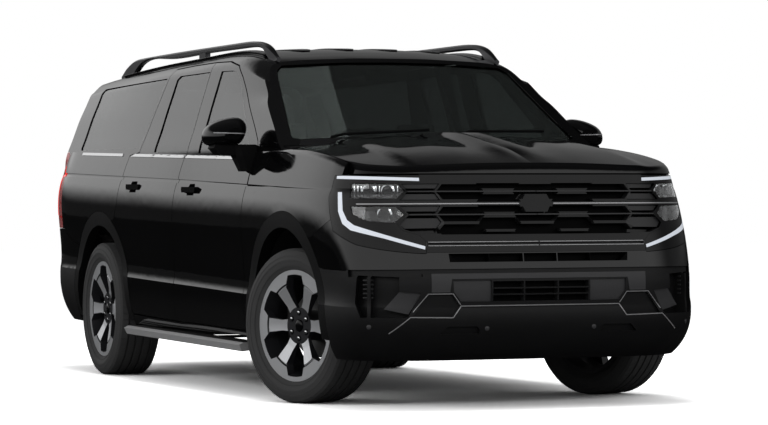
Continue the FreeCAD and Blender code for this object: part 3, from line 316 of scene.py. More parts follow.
RUBBER = Finish("tyre_rubber", (0.0400, 0.0400, 0.0405), (0.0560, 0.0560, 0.0565), roughness=0.70,
                spread=0.08, specular=0.3, bump=(Pattern.GRAIN, 500.0, 0.0003))
MACHINED = Finish("machined_aluminium", (0.66, 0.67, 0.69), metallic=0.72, roughness=0.34, spread=0.03,
                  bump=(Pattern.GRAIN, 2400.0, 0.000006))
POCKET = Finish("dark_wheel_paint", (0.016, 0.016, 0.018), roughness=0.30, specular=0.45)
SATIN_METAL = Finish("satin_dark_metal", (0.085, 0.085, 0.090), metallic=1.0, roughness=0.34)
BRIGHT = Finish("satin_bright_metal", (0.62, 0.62, 0.63), metallic=1.0, roughness=0.20)
# Dull bright trim on the mirror and the liftgate; the thin lines along the grille bars and the bumper edges
# are painted highlights.
BRIGHT_TRIM_AND_PAINTED_HIGHLIGHT = Finish("dull_bright_trim", (0.42, 0.42, 0.43), metallic=0.55, roughness=0.30)
CHROME = Finish("chrome", (0.80, 0.81, 0.82), metallic=1.0, roughness=0.07, spread=0.02)
MIRROR = Finish("mirror_glass", (0.82, 0.84, 0.85), metallic=1.0, roughness=0.02, spread=0.01)
CAST = Finish("cast_iron", (0.030, 0.029, 0.028), (0.045, 0.042, 0.040), metallic=0.6, roughness=0.62,
              spread=0.10, bump=(Pattern.CAST, 160.0, 0.0008))
FRAME_COAT = Finish("frame_coating", (0.007, 0.007, 0.007), (0.011, 0.011, 0.011), roughness=0.5, spread=0.12,
                    bump=(Pattern.CAST, 60.0, 0.0005))
STEEL = Finish("exhaust_steel", (0.26, 0.25, 0.23), (0.18, 0.16, 0.145), metallic=1.0, roughness=0.42,
               spread=0.12)
DISC_STEEL = Finish("brake_disc_steel", (0.34, 0.34, 0.34), (0.28, 0.28, 0.275), metallic=1.0, roughness=0.34)
HIDE = Finish("black_leather", (0.014, 0.0135, 0.013), (0.020, 0.019, 0.0185), roughness=0.52, spread=0.06,
              bump=(Pattern.HIDE, 420.0, 0.0004))
SOFT_PLASTIC = Finish("soft_dash_plastic", (0.012, 0.012, 0.0125), roughness=0.66,
                      bump=(Pattern.GRAIN, 600.0, 0.0003))
TRIM_CLOTH = Finish("headliner_cloth", (0.026, 0.0255, 0.025), (0.034, 0.0335, 0.033), roughness=0.85,
                    specular=0.1, bump=(Pattern.GRAIN, 1500.0, 0.0002))
CARPET = Finish("floor_carpet", (0.010, 0.010, 0.010), (0.016, 0.016, 0.016), roughness=0.95, specular=0.1,
                bump=(Pattern.CAST, 900.0, 0.0010))
DARK_SCREEN = Finish("display_glass", (0.004, 0.004, 0.005), roughness=0.06, spread=0.01)
TINTED = Glass("tinted_glass", (0.050, 0.054, 0.054))
DOOR_GLASS = Glass("door_glass", (0.085, 0.092, 0.091))
SCREEN = Glass("screen_glass", (0.100, 0.116, 0.110))
LENS = Glass("lamp_lens", (0.86, 0.87, 0.88))
RED_LENS = Finish("red_lens", (0.22, 0.004, 0.004), (0.27, 0.006, 0.006), roughness=0.10)
RED_BAR = Light("red_light_bar", (0.85, 0.03, 0.02), 0.5)
GUIDE = Light("light_guide", (0.52, 0.55, 0.60), 0.62)


def inside(outline: Flat, a: float, b: float) -> bool:
    """Whether a point lies inside a closed flat outline.

    Args:
        outline: Corners of the outline.
        a: First coordinate of the point.
        b: Second coordinate of the point.

    Returns:
        True inside.
    """
    found = False
    for (a0, b0), (a1, b1) in zip(outline, [*outline[1:], outline[0]]):
        if (b0 > b) != (b1 > b) and a < (a1 - a0) * (b - b0) / (b1 - b0) + a0:
            found = not found
    return found


def circle(count: int, radius: float, a: float = 0.0, b: float = 0.0) -> list[tuple[float, float]]:
    """Corners of a regular outline round a point.

    Args:
        count: Number of corners.
        radius: Their distance from the point.
        a: First coordinate of the point.
        b: Second coordinate of the point.

    Returns:
        The corners in order.
    """
    angles = [math.tau * step / count for step in range(count)]
    return [(a + radius * math.cos(angle), b + radius * math.sin(angle)) for angle in angles]


def ribbon(line: Flat, width: float) -> list[tuple[float, float]]:
    """Flat outline of a strip along a line.

    Args:
        line: Points of the strip's middle line.
        width: Width of the strip.

    Returns:
        Corners of the strip, one side and back along the other.
    """
    near, far = [], []
    for index, (a, b) in enumerate(line):
        before = line[max(index - 1, 0)]
        after = line[min(index + 1, len(line) - 1)]
        first = Vector((a - before[0], b - before[1]))
        second = Vector((after[0] - a, after[1] - b))
        first = first.normalized() if first.length else second.normalized()
        second = second.normalized() if second.length else first
        way = (first + second).normalized()
        cross = Vector((-way.y, way.x)) * (width / 2.0) / max(0.5, way.dot(first))
        near.append((a + cross.x, b + cross.y))
        far.append((a - cross.x, b - cross.y))
    return near + far[::-1]


@dataclass(frozen=True)
class Zone:
    """Test for faces by place and direction, the same on the left and on the right.

    Args:
        x: Range along the vehicle.
        y: Range of the distance from the middle plane.
        z: Range of the height.
        ahead: Range of the normal's part towards the nose.
        out: Range of its part away from the middle plane.
        up: Range of its upward part.
        within: Outlines on the right seen from the front, one of which holds the face.
    """

    x: Range = ANY
    y: Range = ANY
    z: Range = ANY
    ahead: Range = ANY
    out: Range = ANY
    up: Range = ANY
    within: Sequence[Flat] = ()

    def __call__(self, middle: Vector, normal: Vector) -> bool:
        """Whether a face is in the zone.

        Args:
            middle: Middle of the face.
            normal: Its normal.

        Returns:
            True if all ranges hold it, and one outline where there are any.
        """
        off = abs(middle.y)
        values = (middle.x, off, middle.z, normal.x, math.copysign(1.0, middle.y) * normal.y, normal.z)
        ranges = (self.x, self.y, self.z, self.ahead, self.out, self.up)
        if not all(low < value < high for value, (low, high) in zip(values, ranges)):
            return False
        return not self.within or any(inside(outline, -off, middle.z) for outline in self.within)


def dress(nodes: Nodes, names: Sequence[str], base: Surface, *rules: tuple[Surface, Test]) -> None:
    """Give construction nodes a finish, and other finishes to faces that pass a test.

    Args:
        nodes: Construction nodes by name.
        names: The nodes to dress.
        base: Finish of the faces that pass no test.
        rules: Pairs of a finish and a test; the first that a face passes holds.
    """
    order = list(dict.fromkeys([base, *(finish for finish, _ in rules)]))
    for name in names:
        mesh = nodes[name].data
        mesh.materials.clear()
        for finish in order:
            mesh.materials.append(finish.material())
        for face in mesh.polygons:
            middle, normal = face.center, face.normal
            chosen = next((finish for finish, test in rules if test(middle, normal)), base)
            face.material_index = order.index(chosen)
        LOG.info("dressed %s in %d finishes", name, len(order))


def solids_of(mesh: bpy.types.Mesh) -> list[tuple[list[int], Vector, Vector]]:
    """Closed solids of a construction node's mesh of loose triangles.

    Args:
        mesh: The mesh.

    Returns:
        Face numbers, lowest corner and highest corner of each solid.
    """
    root: dict[Key, Key] = {}

    def top(key: Key) -> Key:
        """Key that stands for a point's solid."""
        while root[key] != key:
            root[key] = root[root[key]]
            key = root[key]
        return key

    keys = [tuple(round(part / MERGE) for part in vertex.co) for vertex in mesh.vertices]
    for key in keys:
        root.setdefault(key, key)
    for face in mesh.polygons:
        first = top(keys[face.vertices[0]])
        for corner in face.vertices[1:]:
            root[top(keys[corner])] = first
    groups: dict[Key, list[int]] = {}
    for face in mesh.polygons:
        groups.setdefault(top(keys[face.vertices[0]]), []).append(face.index)
    found = []
    for faces in groups.values():
        points = [mesh.vertices[corner].co for index in faces for corner in mesh.polygons[index].vertices]
        low, high = (Vector([end(point[axis] for point in points) for axis in range(3)])
                     for end in (min, max))
        found.append((faces, low, high))
    return found


def dress_solids(node: bpy.types.Object, choose: Callable[[Vector, Vector], Surface]) -> None:
    """Give each solid of a construction node its own finish.

    Args:
        node: The construction node.
        choose: Finish for a solid from its lowest and highest corner.
    """
    mesh = node.data
    mesh.materials.clear()
    order: list[Surface] = []
    for faces, low, high in solids_of(mesh):
        finish = choose(low, high)
        if finish not in order:
            order.append(finish)
            mesh.materials.append(finish.material())
        for index in faces:
            mesh.polygons[index].material_index = order.index(finish)
    LOG.info("dressed the solids of %s", node.name)


class Approach(Enum):
    """Side from which a strip is laid on a panel: an axis, and where on it the strip starts."""

    FRONT = ("X", 3.0)
    REAR = ("X", -3.0)
    RIGHT = ("Y", -1.4)
    TOP = ("Z", 2.3)

    def spread(self, a: float, b: float) -> Point:
        """Point in space of a flat point, before it is laid."""
        axis, start = self.value
        return {"X": (start, a, b), "Y": (a, start, b), "Z": (a, b, start)}[axis]

    @property
    def outward(self) -> Vector:
        """Direction from the model to the viewer on this side."""
        axis, start = self.value
        return Vector([math.copysign(1.0, start) if letter == axis else 0.0 for letter in "XYZ"])


@dataclass(frozen=True)
class Strip:
    """Thin piece that is laid on a panel and follows its surface.

    Args:
        name: Name of the piece.
        finish: Its finish.
        line: Its middle line, or its whole outline where it has no width.
        width: Its width across the line.
        thick: Its thickness.
        longest: Longest edge before it is laid.
        lift: Height over the panel.
        bevel: Width of its rounded edges.
        body: Body it moves with.
        paired: Whether the left side has its mirror image.
    """

    name: str
    finish: Surface
    line: Flat
    width: float = 0.0
    thick: float = 0.0015
    longest: float = 0.03
    lift: float = 0.0003
    bevel: float = 0.0
    body: str = "body"
    paired: bool = True


class Bench:
    """Workbench that shapes new pieces with Blender's own operators."""

    @staticmethod
    def pick(piece: bpy.types.Object) -> None:
        """Make one object the only selected and the active one.

        Args:
            piece: The object.
        """
        bpy.ops.object.select_all(action="DESELECT")
        piece.select_set(True)
        bpy.context.view_layer.objects.active = piece

    @staticmethod
    def settle(piece: bpy.types.Object) -> None:
        """Pick a piece and apply its modifiers.

        Args:
            piece: The piece.
        """
        Bench.pick(piece)
        for modifier in list(piece.modifiers):
            bpy.ops.object.modifier_apply(modifier=modifier.name)

    @staticmethod
    def edit(piece: bpy.types.Object, *steps: Callable[[], object]) -> None:
        """Run operators on a piece in edit mode, with all of it selected before each.

        Args:
            piece: The piece.
            steps: Calls without arguments.
        """
        Bench.pick(piece)
        bpy.ops.object.mode_set(mode="EDIT")
        for step in steps:
            bpy.ops.mesh.select_all(action="SELECT")
            step()
        bpy.ops.object.mode_set(mode="OBJECT")

    @staticmethod
    def outline(name: str, points: Sequence[Point], filled: bool = True) -> bpy.types.Object:
        """Flat face or closed line through points.

        Args:
            name: Name of the piece.
            points: Corners in order.
            filled: Whether it is a face.

        Returns:
            The new piece.
        """
        bpy.ops.object.select_all(action="DESELECT")
        bpy.ops.mesh.primitive_circle_add(vertices=len(points), radius=0.01,
                                          fill_type="NGON" if filled else "NOTHING")
        piece = bpy.context.object
        piece.name = name
        Bench.pick(piece)
        bpy.ops.object.mode_set(mode="EDIT")
        bpy.ops.mesh.select_mode(type="VERT")
        for index, point in enumerate(points):
            bpy.ops.mesh.select_all(action="DESELECT")
            mesh = bmesh.from_edit_mesh(piece.data)
            mesh.verts.ensure_lookup_table()
            corner = mesh.verts[index]
            corner.select_set(True)
            shift = Vector(point) - corner.co
            bmesh.update_edit_mesh(piece.data)
            bpy.ops.transform.translate(value=shift)
        bpy.ops.object.mode_set(mode="OBJECT")
        return piece

    @staticmethod
    def slab(name: str, points: Sequence[Point], push: Point, bevel: float = 0.0) -> bpy.types.Object:
        """Closed plate: an outline pushed along a direction, its edges rounded.

        Args:
            name: Name of the piece.
            points: Corners in order.
            push: How far and where the face is extruded.
            bevel: Width of the rounded edges.

        Returns:
            The new piece.
        """
        piece = Bench.outline(name, points)
        Bench.edit(piece,
                   lambda: bpy.ops.mesh.extrude_region_move(TRANSFORM_OT_translate={"value": push}),
                   lambda: bpy.ops.mesh.normals_make_consistent(inside=False))
        Bench.round_edges(piece, bevel)
        return piece

    @staticmethod
    def block(name: str, low: Point, high: Point, bevel: float) -> bpy.types.Object:
        """Box between two corners with rounded edges.

        Args:
            name: Name of the piece.
            low: Lowest corner.
            high: Highest corner.
            bevel: Width of the rounded edges.

        Returns:
            The new piece.
        """
        (x0, y0, z0), (x1, y1, z1) = low, high
        corners = [(x0, y0, z0), (x1, y0, z0), (x1, y1, z0), (x0, y1, z0)]
        return Bench.slab(name, corners, (0, 0, z1 - z0), bevel)

    @staticmethod
    def round_edges(piece: bpy.types.Object, width: float) -> None:
        """Round the sharp edges of a piece.

        Args:
            piece: The piece.
            width: Width of the rounding; at 0 the edges stay sharp.
        """
        if width:
            edge = piece.modifiers.new("rounded", "BEVEL")
            edge.width = width
            edge.segments = 2
            edge.limit_method = "ANGLE"

    @staticmethod
    def lathe(name: str, profile: Flat, steps: int) -> bpy.types.Object:
        """Ring turned about Y from a closed profile.

        Args:
            name: Name of the piece.
            profile: Radius and Y of the profile's corners.
            steps: Steps of the full turn.

        Returns:
            The new piece.
        """
        piece = Bench.outline(name, [(radius, along, 0.0) for radius, along in profile], filled=False)
        Bench.edit(piece,
                   lambda: bpy.ops.mesh.spin(steps=steps, angle=math.tau, center=(0, 0, 0), axis=(0, 1, 0)),
                   lambda: bpy.ops.mesh.remove_doubles(threshold=MERGE),
                   lambda: bpy.ops.mesh.normals_make_consistent(inside=False))
        return piece

    @staticmethod
    def repeat(piece: bpy.types.Object, count: int) -> None:
        """Copy a piece's mesh round Y so that it stands there a number of times.

        Args:
            piece: The piece.
            count: How many times.
        """
        Bench.settle(piece)
        angle = math.tau * (count - 1) / count
        Bench.edit(piece, lambda: bpy.ops.mesh.spin(
            steps=count - 1, angle=angle, dupli=True, center=(0, 0, 0), axis=(0, 1, 0)))

    @staticmethod
    def put(piece: bpy.types.Object, place: Point, turn: Point = (0, 0, 0)) -> None:
        """Turn a piece made at the origin and set it in place, in its mesh.

        Args:
            piece: The piece.
            place: Where its origin goes.
            turn: Angles about X, Y and Z in degrees.
        """
        Bench.pick(piece)
        piece.rotation_euler = Euler([math.radians(angle) for angle in turn])
        piece.location = place
        bpy.ops.object.transform_apply(location=True, rotation=True, scale=True)

    @staticmethod
    def refine(piece: bpy.types.Object, longest: float) -> None:
        """Split the edges of a flat piece until none is longer than a length.

        Args:
            piece: The piece.
            longest: The length.
        """
        Bench.pick(piece)
        bpy.ops.object.mode_set(mode="EDIT")
        bpy.ops.mesh.select_mode(type="EDGE")
        for _ in range(8):
            bpy.ops.mesh.select_all(action="SELECT")
            bpy.ops.mesh.quads_convert_to_tris()
            bpy.ops.mesh.select_all(action="DESELECT")
            mesh = bmesh.from_edit_mesh(piece.data)
            long_edges = [edge for edge in mesh.edges if edge.calc_length() > longest]
            if not long_edges:
                break
            for edge in long_edges:
                edge.select_set(True)
            bmesh.update_edit_mesh(piece.data)
            bpy.ops.mesh.subdivide(number_cuts=1)
        bpy.ops.mesh.select_mode(type="VERT")
        bpy.ops.object.mode_set(mode="OBJECT")

    @staticmethod
    def mould(nodes: Nodes, *names: str) -> bpy.types.Object:
        """Merged copy of construction nodes, to lay strips on; it is thrown away after use.

        Args:
            nodes: Construction nodes by name.
            names: The nodes to copy.

        Returns:
            The copy.
        """
        bpy.ops.object.select_all(action="DESELECT")
        for name in names:
            nodes[name].select_set(True)
        bpy.context.view_layer.objects.active = nodes[names[0]]
        bpy.ops.object.duplicate()
        if len(names) > 1:
            bpy.ops.object.join()
        copy = bpy.context.object
        copy.parent = None
        copy.name = "mould"
        Bench.edit(copy, lambda: bpy.ops.mesh.remove_doubles(threshold=MERGE))
        return copy

    @staticmethod
    def lay(strip: Strip, approach: Approach, mould: bpy.types.Object) -> None:
        """Make a strip that follows the surface of a mould.

        Args:
            strip: The strip.
            approach: Side from which it is laid on.
            mould: The merged copy it is laid on.
        """
        flat = ribbon(strip.line, strip.width) if strip.width else strip.line
        piece = Bench.outline(strip.name, [approach.spread(a, b) for a, b in flat])
        if piece.data.polygons[0].normal.dot(approach.outward) < 0:
            Bench.edit(piece, bpy.ops.mesh.flip_normals)
        Bench.refine(piece, strip.longest)
        axis, start = approach.value
        wrap = piece.modifiers.new("laid", "SHRINKWRAP")
        wrap.wrap_method = "PROJECT"
        wrap.wrap_mode = "ABOVE_SURFACE"
        for letter in "XYZ":
            setattr(wrap, f"use_project_{letter.lower()}", letter == axis)
        wrap.use_negative_direction = start > 0
        wrap.use_positive_direction = start < 0
        wrap.target = mould
        wrap.offset = strip.lift
        Bench.settle(piece)
        bpy.ops.object.mode_set(mode="EDIT")
        bpy.ops.mesh.select_all(action="DESELECT")
        mesh = bmesh.from_edit_mesh(piece.data)
        for corner in mesh.verts:
            missed = abs(corner.co["XYZ".index(axis)] - start) < 1e-4
            corner.select_set(missed)
        bmesh.update_edit_mesh(piece.data)
        bpy.ops.mesh.delete(type="VERT")
        bpy.ops.object.mode_set(mode="OBJECT")
        if not piece.data.polygons:
            LOG.warning("%s met nothing", strip.name)
            bpy.data.objects.remove(piece)
            return
        wall = piece.modifiers.new("wall", "SOLIDIFY")
        wall.thickness = strip.thick
        wall.offset = 1.0
        Bench.round_edges(piece, strip.bevel)
        Bench.finish(piece, strip.finish, strip.body, 50.0 if strip.bevel else 35.0, strip.paired)

    @staticmethod
    def trim(nodes: Nodes, names: Sequence[str], approach: Approach, *strips: Strip) -> None:
        """Lay strips on construction nodes.

        Args:
            nodes: Construction nodes by name.
            names: The nodes that carry the strips.
            approach: Side from which they are laid on.
            strips: The strips.
        """
        mould = Bench.mould(nodes, *names)
        for strip in strips:
            Bench.lay(strip, approach, mould)
        bpy.data.objects.remove(mould)

    @staticmethod
    def finish(piece: bpy.types.Object, finish: Surface, body: str = "body", angle: float = 35.0,
               paired: bool = False) -> None:
        """Apply a piece's modifiers, give it its finish and hang it on its body.

        Args:
            piece: The piece.
            finish: Its finish.
            body: Body it moves with.
            angle: Edges sharper than this stay sharp, in degrees.
            paired: Whether the left side has its mirror image.
        """
        Bench.settle(piece)
        bpy.ops.object.transform_apply(location=True, rotation=True, scale=True)
        bpy.ops.object.shade_smooth_by_angle(angle=math.radians(angle))
        piece.data.materials.clear()
        piece.data.materials.append(finish.material())
        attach(piece, body)
        LOG.info("made %s, %d faces", piece.name, len(piece.data.polygons))
        if paired:
            Bench.twin(piece, body.replace("right", "left"))

    @staticmethod
    def twin(piece: bpy.types.Object, body: str) -> None:
        """Mirror image of a finished right-hand piece, on the left.

        Args:
            piece: The right-hand piece.
            body: Body of the left-hand piece.
        """
        Bench.pick(piece)
        bpy.ops.object.duplicate()
        other = bpy.context.object
        other.parent = None
        other.name = piece.name.replace("right", "left") if "right" in piece.name else piece.name + "_left"
        other.scale = (1, -1, 1)
        bpy.ops.object.transform_apply(location=True, rotation=True, scale=True)
        Bench.edit(other, lambda: bpy.ops.mesh.normals_make_consistent(inside=False))
        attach(other, body)
        LOG.info("made %s", other.name)


@dataclass
class Coachwork:
    """Painted panels with the trim along the sides, on the roof and at the tail."""

    nodes: Nodes
    belt_back: tuple[float, float] = (-2.140, 1.374)
    belt_front: tuple[float, float] = (1.190, 1.294)
    belt_width: float = 0.017
    rib_rows: tuple[float, ...] = (0.135, 0.400)
    rib_width: float = 0.105
    rib_ends: Range = (-2.36, 0.50)
    rail_line: Flat = ((-2.02, -0.665), (-1.20, -0.665), (-0.40, -0.665), (0.60, -0.665))
    board_ribs: int = 7
    board_pitch: float = 0.015
    board_ends: Range = (-0.92, 1.12)
    board_edge: float = -0.908
    board_top: float = 0.3108
    board_fall: float = 0.0133
    mirror_face: float = 0.968
    mirror_out: float = -1.186
    mirror_shape: Flat = ((0.018, 1.446), (0.030, 1.464), (0.080, 1.494), (0.146, 1.508), (0.192, 1.502),
                          (0.210, 1.484), (0.212, 1.455), (0.202, 1.420), (0.178, 1.388), (0.110, 1.376),
                          (0.052, 1.377), (0.022, 1.390))

    def build(self) -> None:
        """Dress the panels and add their trim."""
        self._panels()
        self._belt()
        self._roof()
        self._boards()
        self._mirrors()
        self._tail()

    def _panels(self) -> None:
        """Paint outside, trim inside."""
        carpet = (CARPET, Zone(x=above(-2.60), z=(0.43, 0.47), up=above(0.8)))
        cabin_side = (SOFT_PLASTIC, Zone(x=(-2.45, 1.36), y=below(0.975), z=(0.40, 1.33), out=below(-0.5)))
        pillar = (TRIM_CLOTH, Zone(x=(-2.55, 1.30), z=above(1.33), out=below(-0.5)))
        ceiling = (TRIM_CLOTH, Zone(y=below(0.66), z=above(1.70), up=below(-0.6)))
        cowl = (SATIN_BLACK, Zone(x=above(1.30), y=below(0.80), z=(1.36, 1.47), up=above(0.3)))
        underneath = (FRAME_COAT, Zone(y=below(0.93), z=below(0.46), up=below(0.5)))
        for names, base, rules in (
                (["body_shell"], PAINT, (carpet, cabin_side, pillar, ceiling, cowl, underneath)),
                (["roof_panel"], PAINT, ((TRIM_CLOTH, Zone(up=below(-0.6))),)),
                ([f"door_{end}_{side.word}" for end in ("front", "rear") for side in Side], PAINT,
                 (cabin_side, pillar)),
                (["hood", "front_fenders"], PAINT, ((FRAME_COAT, Zone(up=below(-0.5))),)),
                (["liftgate"], PAINT, (
                    (SOFT_PLASTIC, Zone(ahead=above(0.5))),
                    (SATIN_BLACK, Zone(x=above(-2.757), y=below(0.292), z=(0.903, 1.097),
                                       ahead=below(-0.5))))),
                (["rear_bumper"], SATIN_BLACK, ((PAINT, Zone(z=above(0.652), up=(-0.9, 0.9))),)),
                (["mirror_right", "mirror_left"], PAINT, (
                    (MATT_BLACK, Zone(z=below(1.375))), (MATT_BLACK, Zone(ahead=below(-0.8))))),
                (["arch_mouldings", "wipers"], MATT_BLACK, ()),
                (["running_boards"], BOARD_GREY, ()),
                (["roof_rails"], SATIN_METAL, ((BRIGHT, Zone(up=below(-0.8))),)),
                (["liftgate_glass", "door_glass_rear_right", "door_glass_rear_left"], TINTED, ()),
                (["door_glass_front_right", "door_glass_front_left"], DOOR_GLASS, ())):
            dress(self.nodes, names, base, *rules)

        def pane(low: Vector, high: Vector) -> Surface:
            """Glass of a lamp, the windshield or a fixed side window."""
            return LENS if low.x > 2.2 else SCREEN if high.x > 0.0 else TINTED

        dress_solids(self.nodes["fixed_glass"], pane)

    def _belt(self) -> None:
        """Bright strips below the side windows, each on its own panel."""
        (x0, z0), (x1, z1) = self.belt_back, self.belt_front
        for node, body, start, stop in (("door_front_right", "door_front_right", -0.055, 1.020),
                                        ("door_rear_right", "door_rear_right", -1.230, -0.078),
                                        ("body_shell", "body", -2.140, -1.262)):
            line = [(x, z0 + (z1 - z0) * (x - x0) / (x1 - x0)) for x in (start, (start + stop) / 2, stop)]
            Bench.trim(self.nodes, [node], Approach.RIGHT,
                       Strip(f"belt_strip_{node}", BRIGHT, line, self.belt_width, 0.004, 0.05, body=body))

    def _roof(self) -> None:
        """Low ribs along the roof, and the bases of its rails."""
        half = self.rib_width / 2
        back, front = self.rib_ends
        ribs = []
        for row, middle in enumerate(self.rib_rows):
            y0, y1 = -middle - half, -middle + half
            outline = [(back, y0), (front - 0.08, y0), (front, y0 + 0.03), (front, y1 - 0.03),
                       (front - 0.08, y1), (back, y1)]
            ribs.append(Strip(f"roof_rib_{row}", PAINT, outline, thick=0.006, longest=0.06, bevel=0.004))
        Bench.trim(self.nodes, ["roof_panel"], Approach.TOP, *ribs)
        Bench.trim(self.nodes, ["body_shell"], Approach.TOP,
                   Strip("rail_base_right", GLOSS_BLACK, self.rail_line, 0.046, 0.016, 0.05, bevel=0.006))

    def _boards(self) -> None:
        """Grip ribs along the running boards."""
        back, front = self.board_ends
        low, high = self.board_top - self.board_fall * back, self.board_top - self.board_fall * front
        for number in range(self.board_ribs):
            y = self.board_edge - number * self.board_pitch
            rib = Bench.slab(f"board_rib_{number}_right", [
                (back, y, low), (front, y, high), (front, y, high + 0.0025), (back, y, low + 0.0025)],
                (0, -0.007, 0), 0.0008)
            Bench.finish(rib, MATT_BLACK, paired=True)

    def _mirrors(self) -> None:
        """Mirror glass and the bright line of each housing."""
        corners = [(self.mirror_face, self.mirror_out + a, z) for a, z in self.mirror_shape]
        glass = Bench.slab("mirror_glass_right", corners, (0.004, 0, 0), 0.001)
        Bench.finish(glass, MIRROR, "door_front_right", paired=True)
        Bench.trim(self.nodes, ["mirror_right"], Approach.FRONT,
                   Strip("mirror_line_right", BRIGHT_TRIM_AND_PAINTED_HIGHLIGHT, [(-1.165, 1.434), (-1.10, 1.432), (-0.995, 1.430)], 0.005,
                         0.002, 0.02, body="door_front_right"))

    def _tail(self) -> None:
        """Lamp bars, wiper, handle, reflectors and exhaust tip at the rear."""
        gate = {"body": "liftgate", "paired": False}
        for node, strips in (
                ("tail_lamps", (
                    Strip("tail_bar_outer_right", RED_BAR, [
                        (-0.935, 1.325), (-0.958, 1.150), (-0.960, 0.985)], 0.012, 0.002, 0.025),
                    Strip("tail_bar_low_right", RED_BAR, [(-0.945, 0.975), (-0.800, 0.970)],
                          0.012, 0.002, 0.025),
                    Strip("reverse_lamp_right", LENS, [(-0.925, 1.075), (-0.800, 1.070)],
                          0.034, 0.002, 0.025))),
                ("liftgate_glass", (
                    Strip("rear_wiper_arm", MATT_BLACK, [(0.0, 1.475), (-0.14, 1.500), (-0.34, 1.520)], 0.016,
                          0.010, lift=0.004, **gate),
                    Strip("rear_wiper_blade", MATT_BLACK, [(-0.10, 1.512), (-0.50, 1.540)],
                          0.012, 0.006, **gate))),
                ("liftgate", (
                    Strip("gate_strip", BRIGHT_TRIM_AND_PAINTED_HIGHLIGHT, [(-0.66, 1.150), (0.0, 1.150), (0.66, 1.150)],
                          0.018, 0.004, 0.05, **gate),
                    Strip("gate_handle", GLOSS_BLACK, [(-0.16, 1.050), (0.16, 1.050), (0.15, 1.075),
                                                       (-0.15, 1.075)], 0.0, 0.008, 0.05, **gate),
                    Strip("high_brake_lamp", RED_LENS, [(-0.18, 1.845), (0.18, 1.845)], 0.016, 0.003, 0.04,
                          **gate))),
                ("rear_bumper", (
                    Strip("bumper_reflector_right", RED_LENS, [(-0.86, 0.560), (-0.70, 0.560)],
                          0.032, 0.003),))):
            Bench.trim(self.nodes, [node], Approach.REAR, *strips)
        tip = Bench.lathe("exhaust_tip", [(0.033, 0.0), (0.040, 0.0), (0.042, 0.004), (0.042, 0.110),
                                          (0.040, 0.114), (0.033, 0.114)], 48)
        Bench.put(tip, (-2.745, -0.640, 0.274), (0, 0, -90))
        Bench.finish(tip, CHROME)


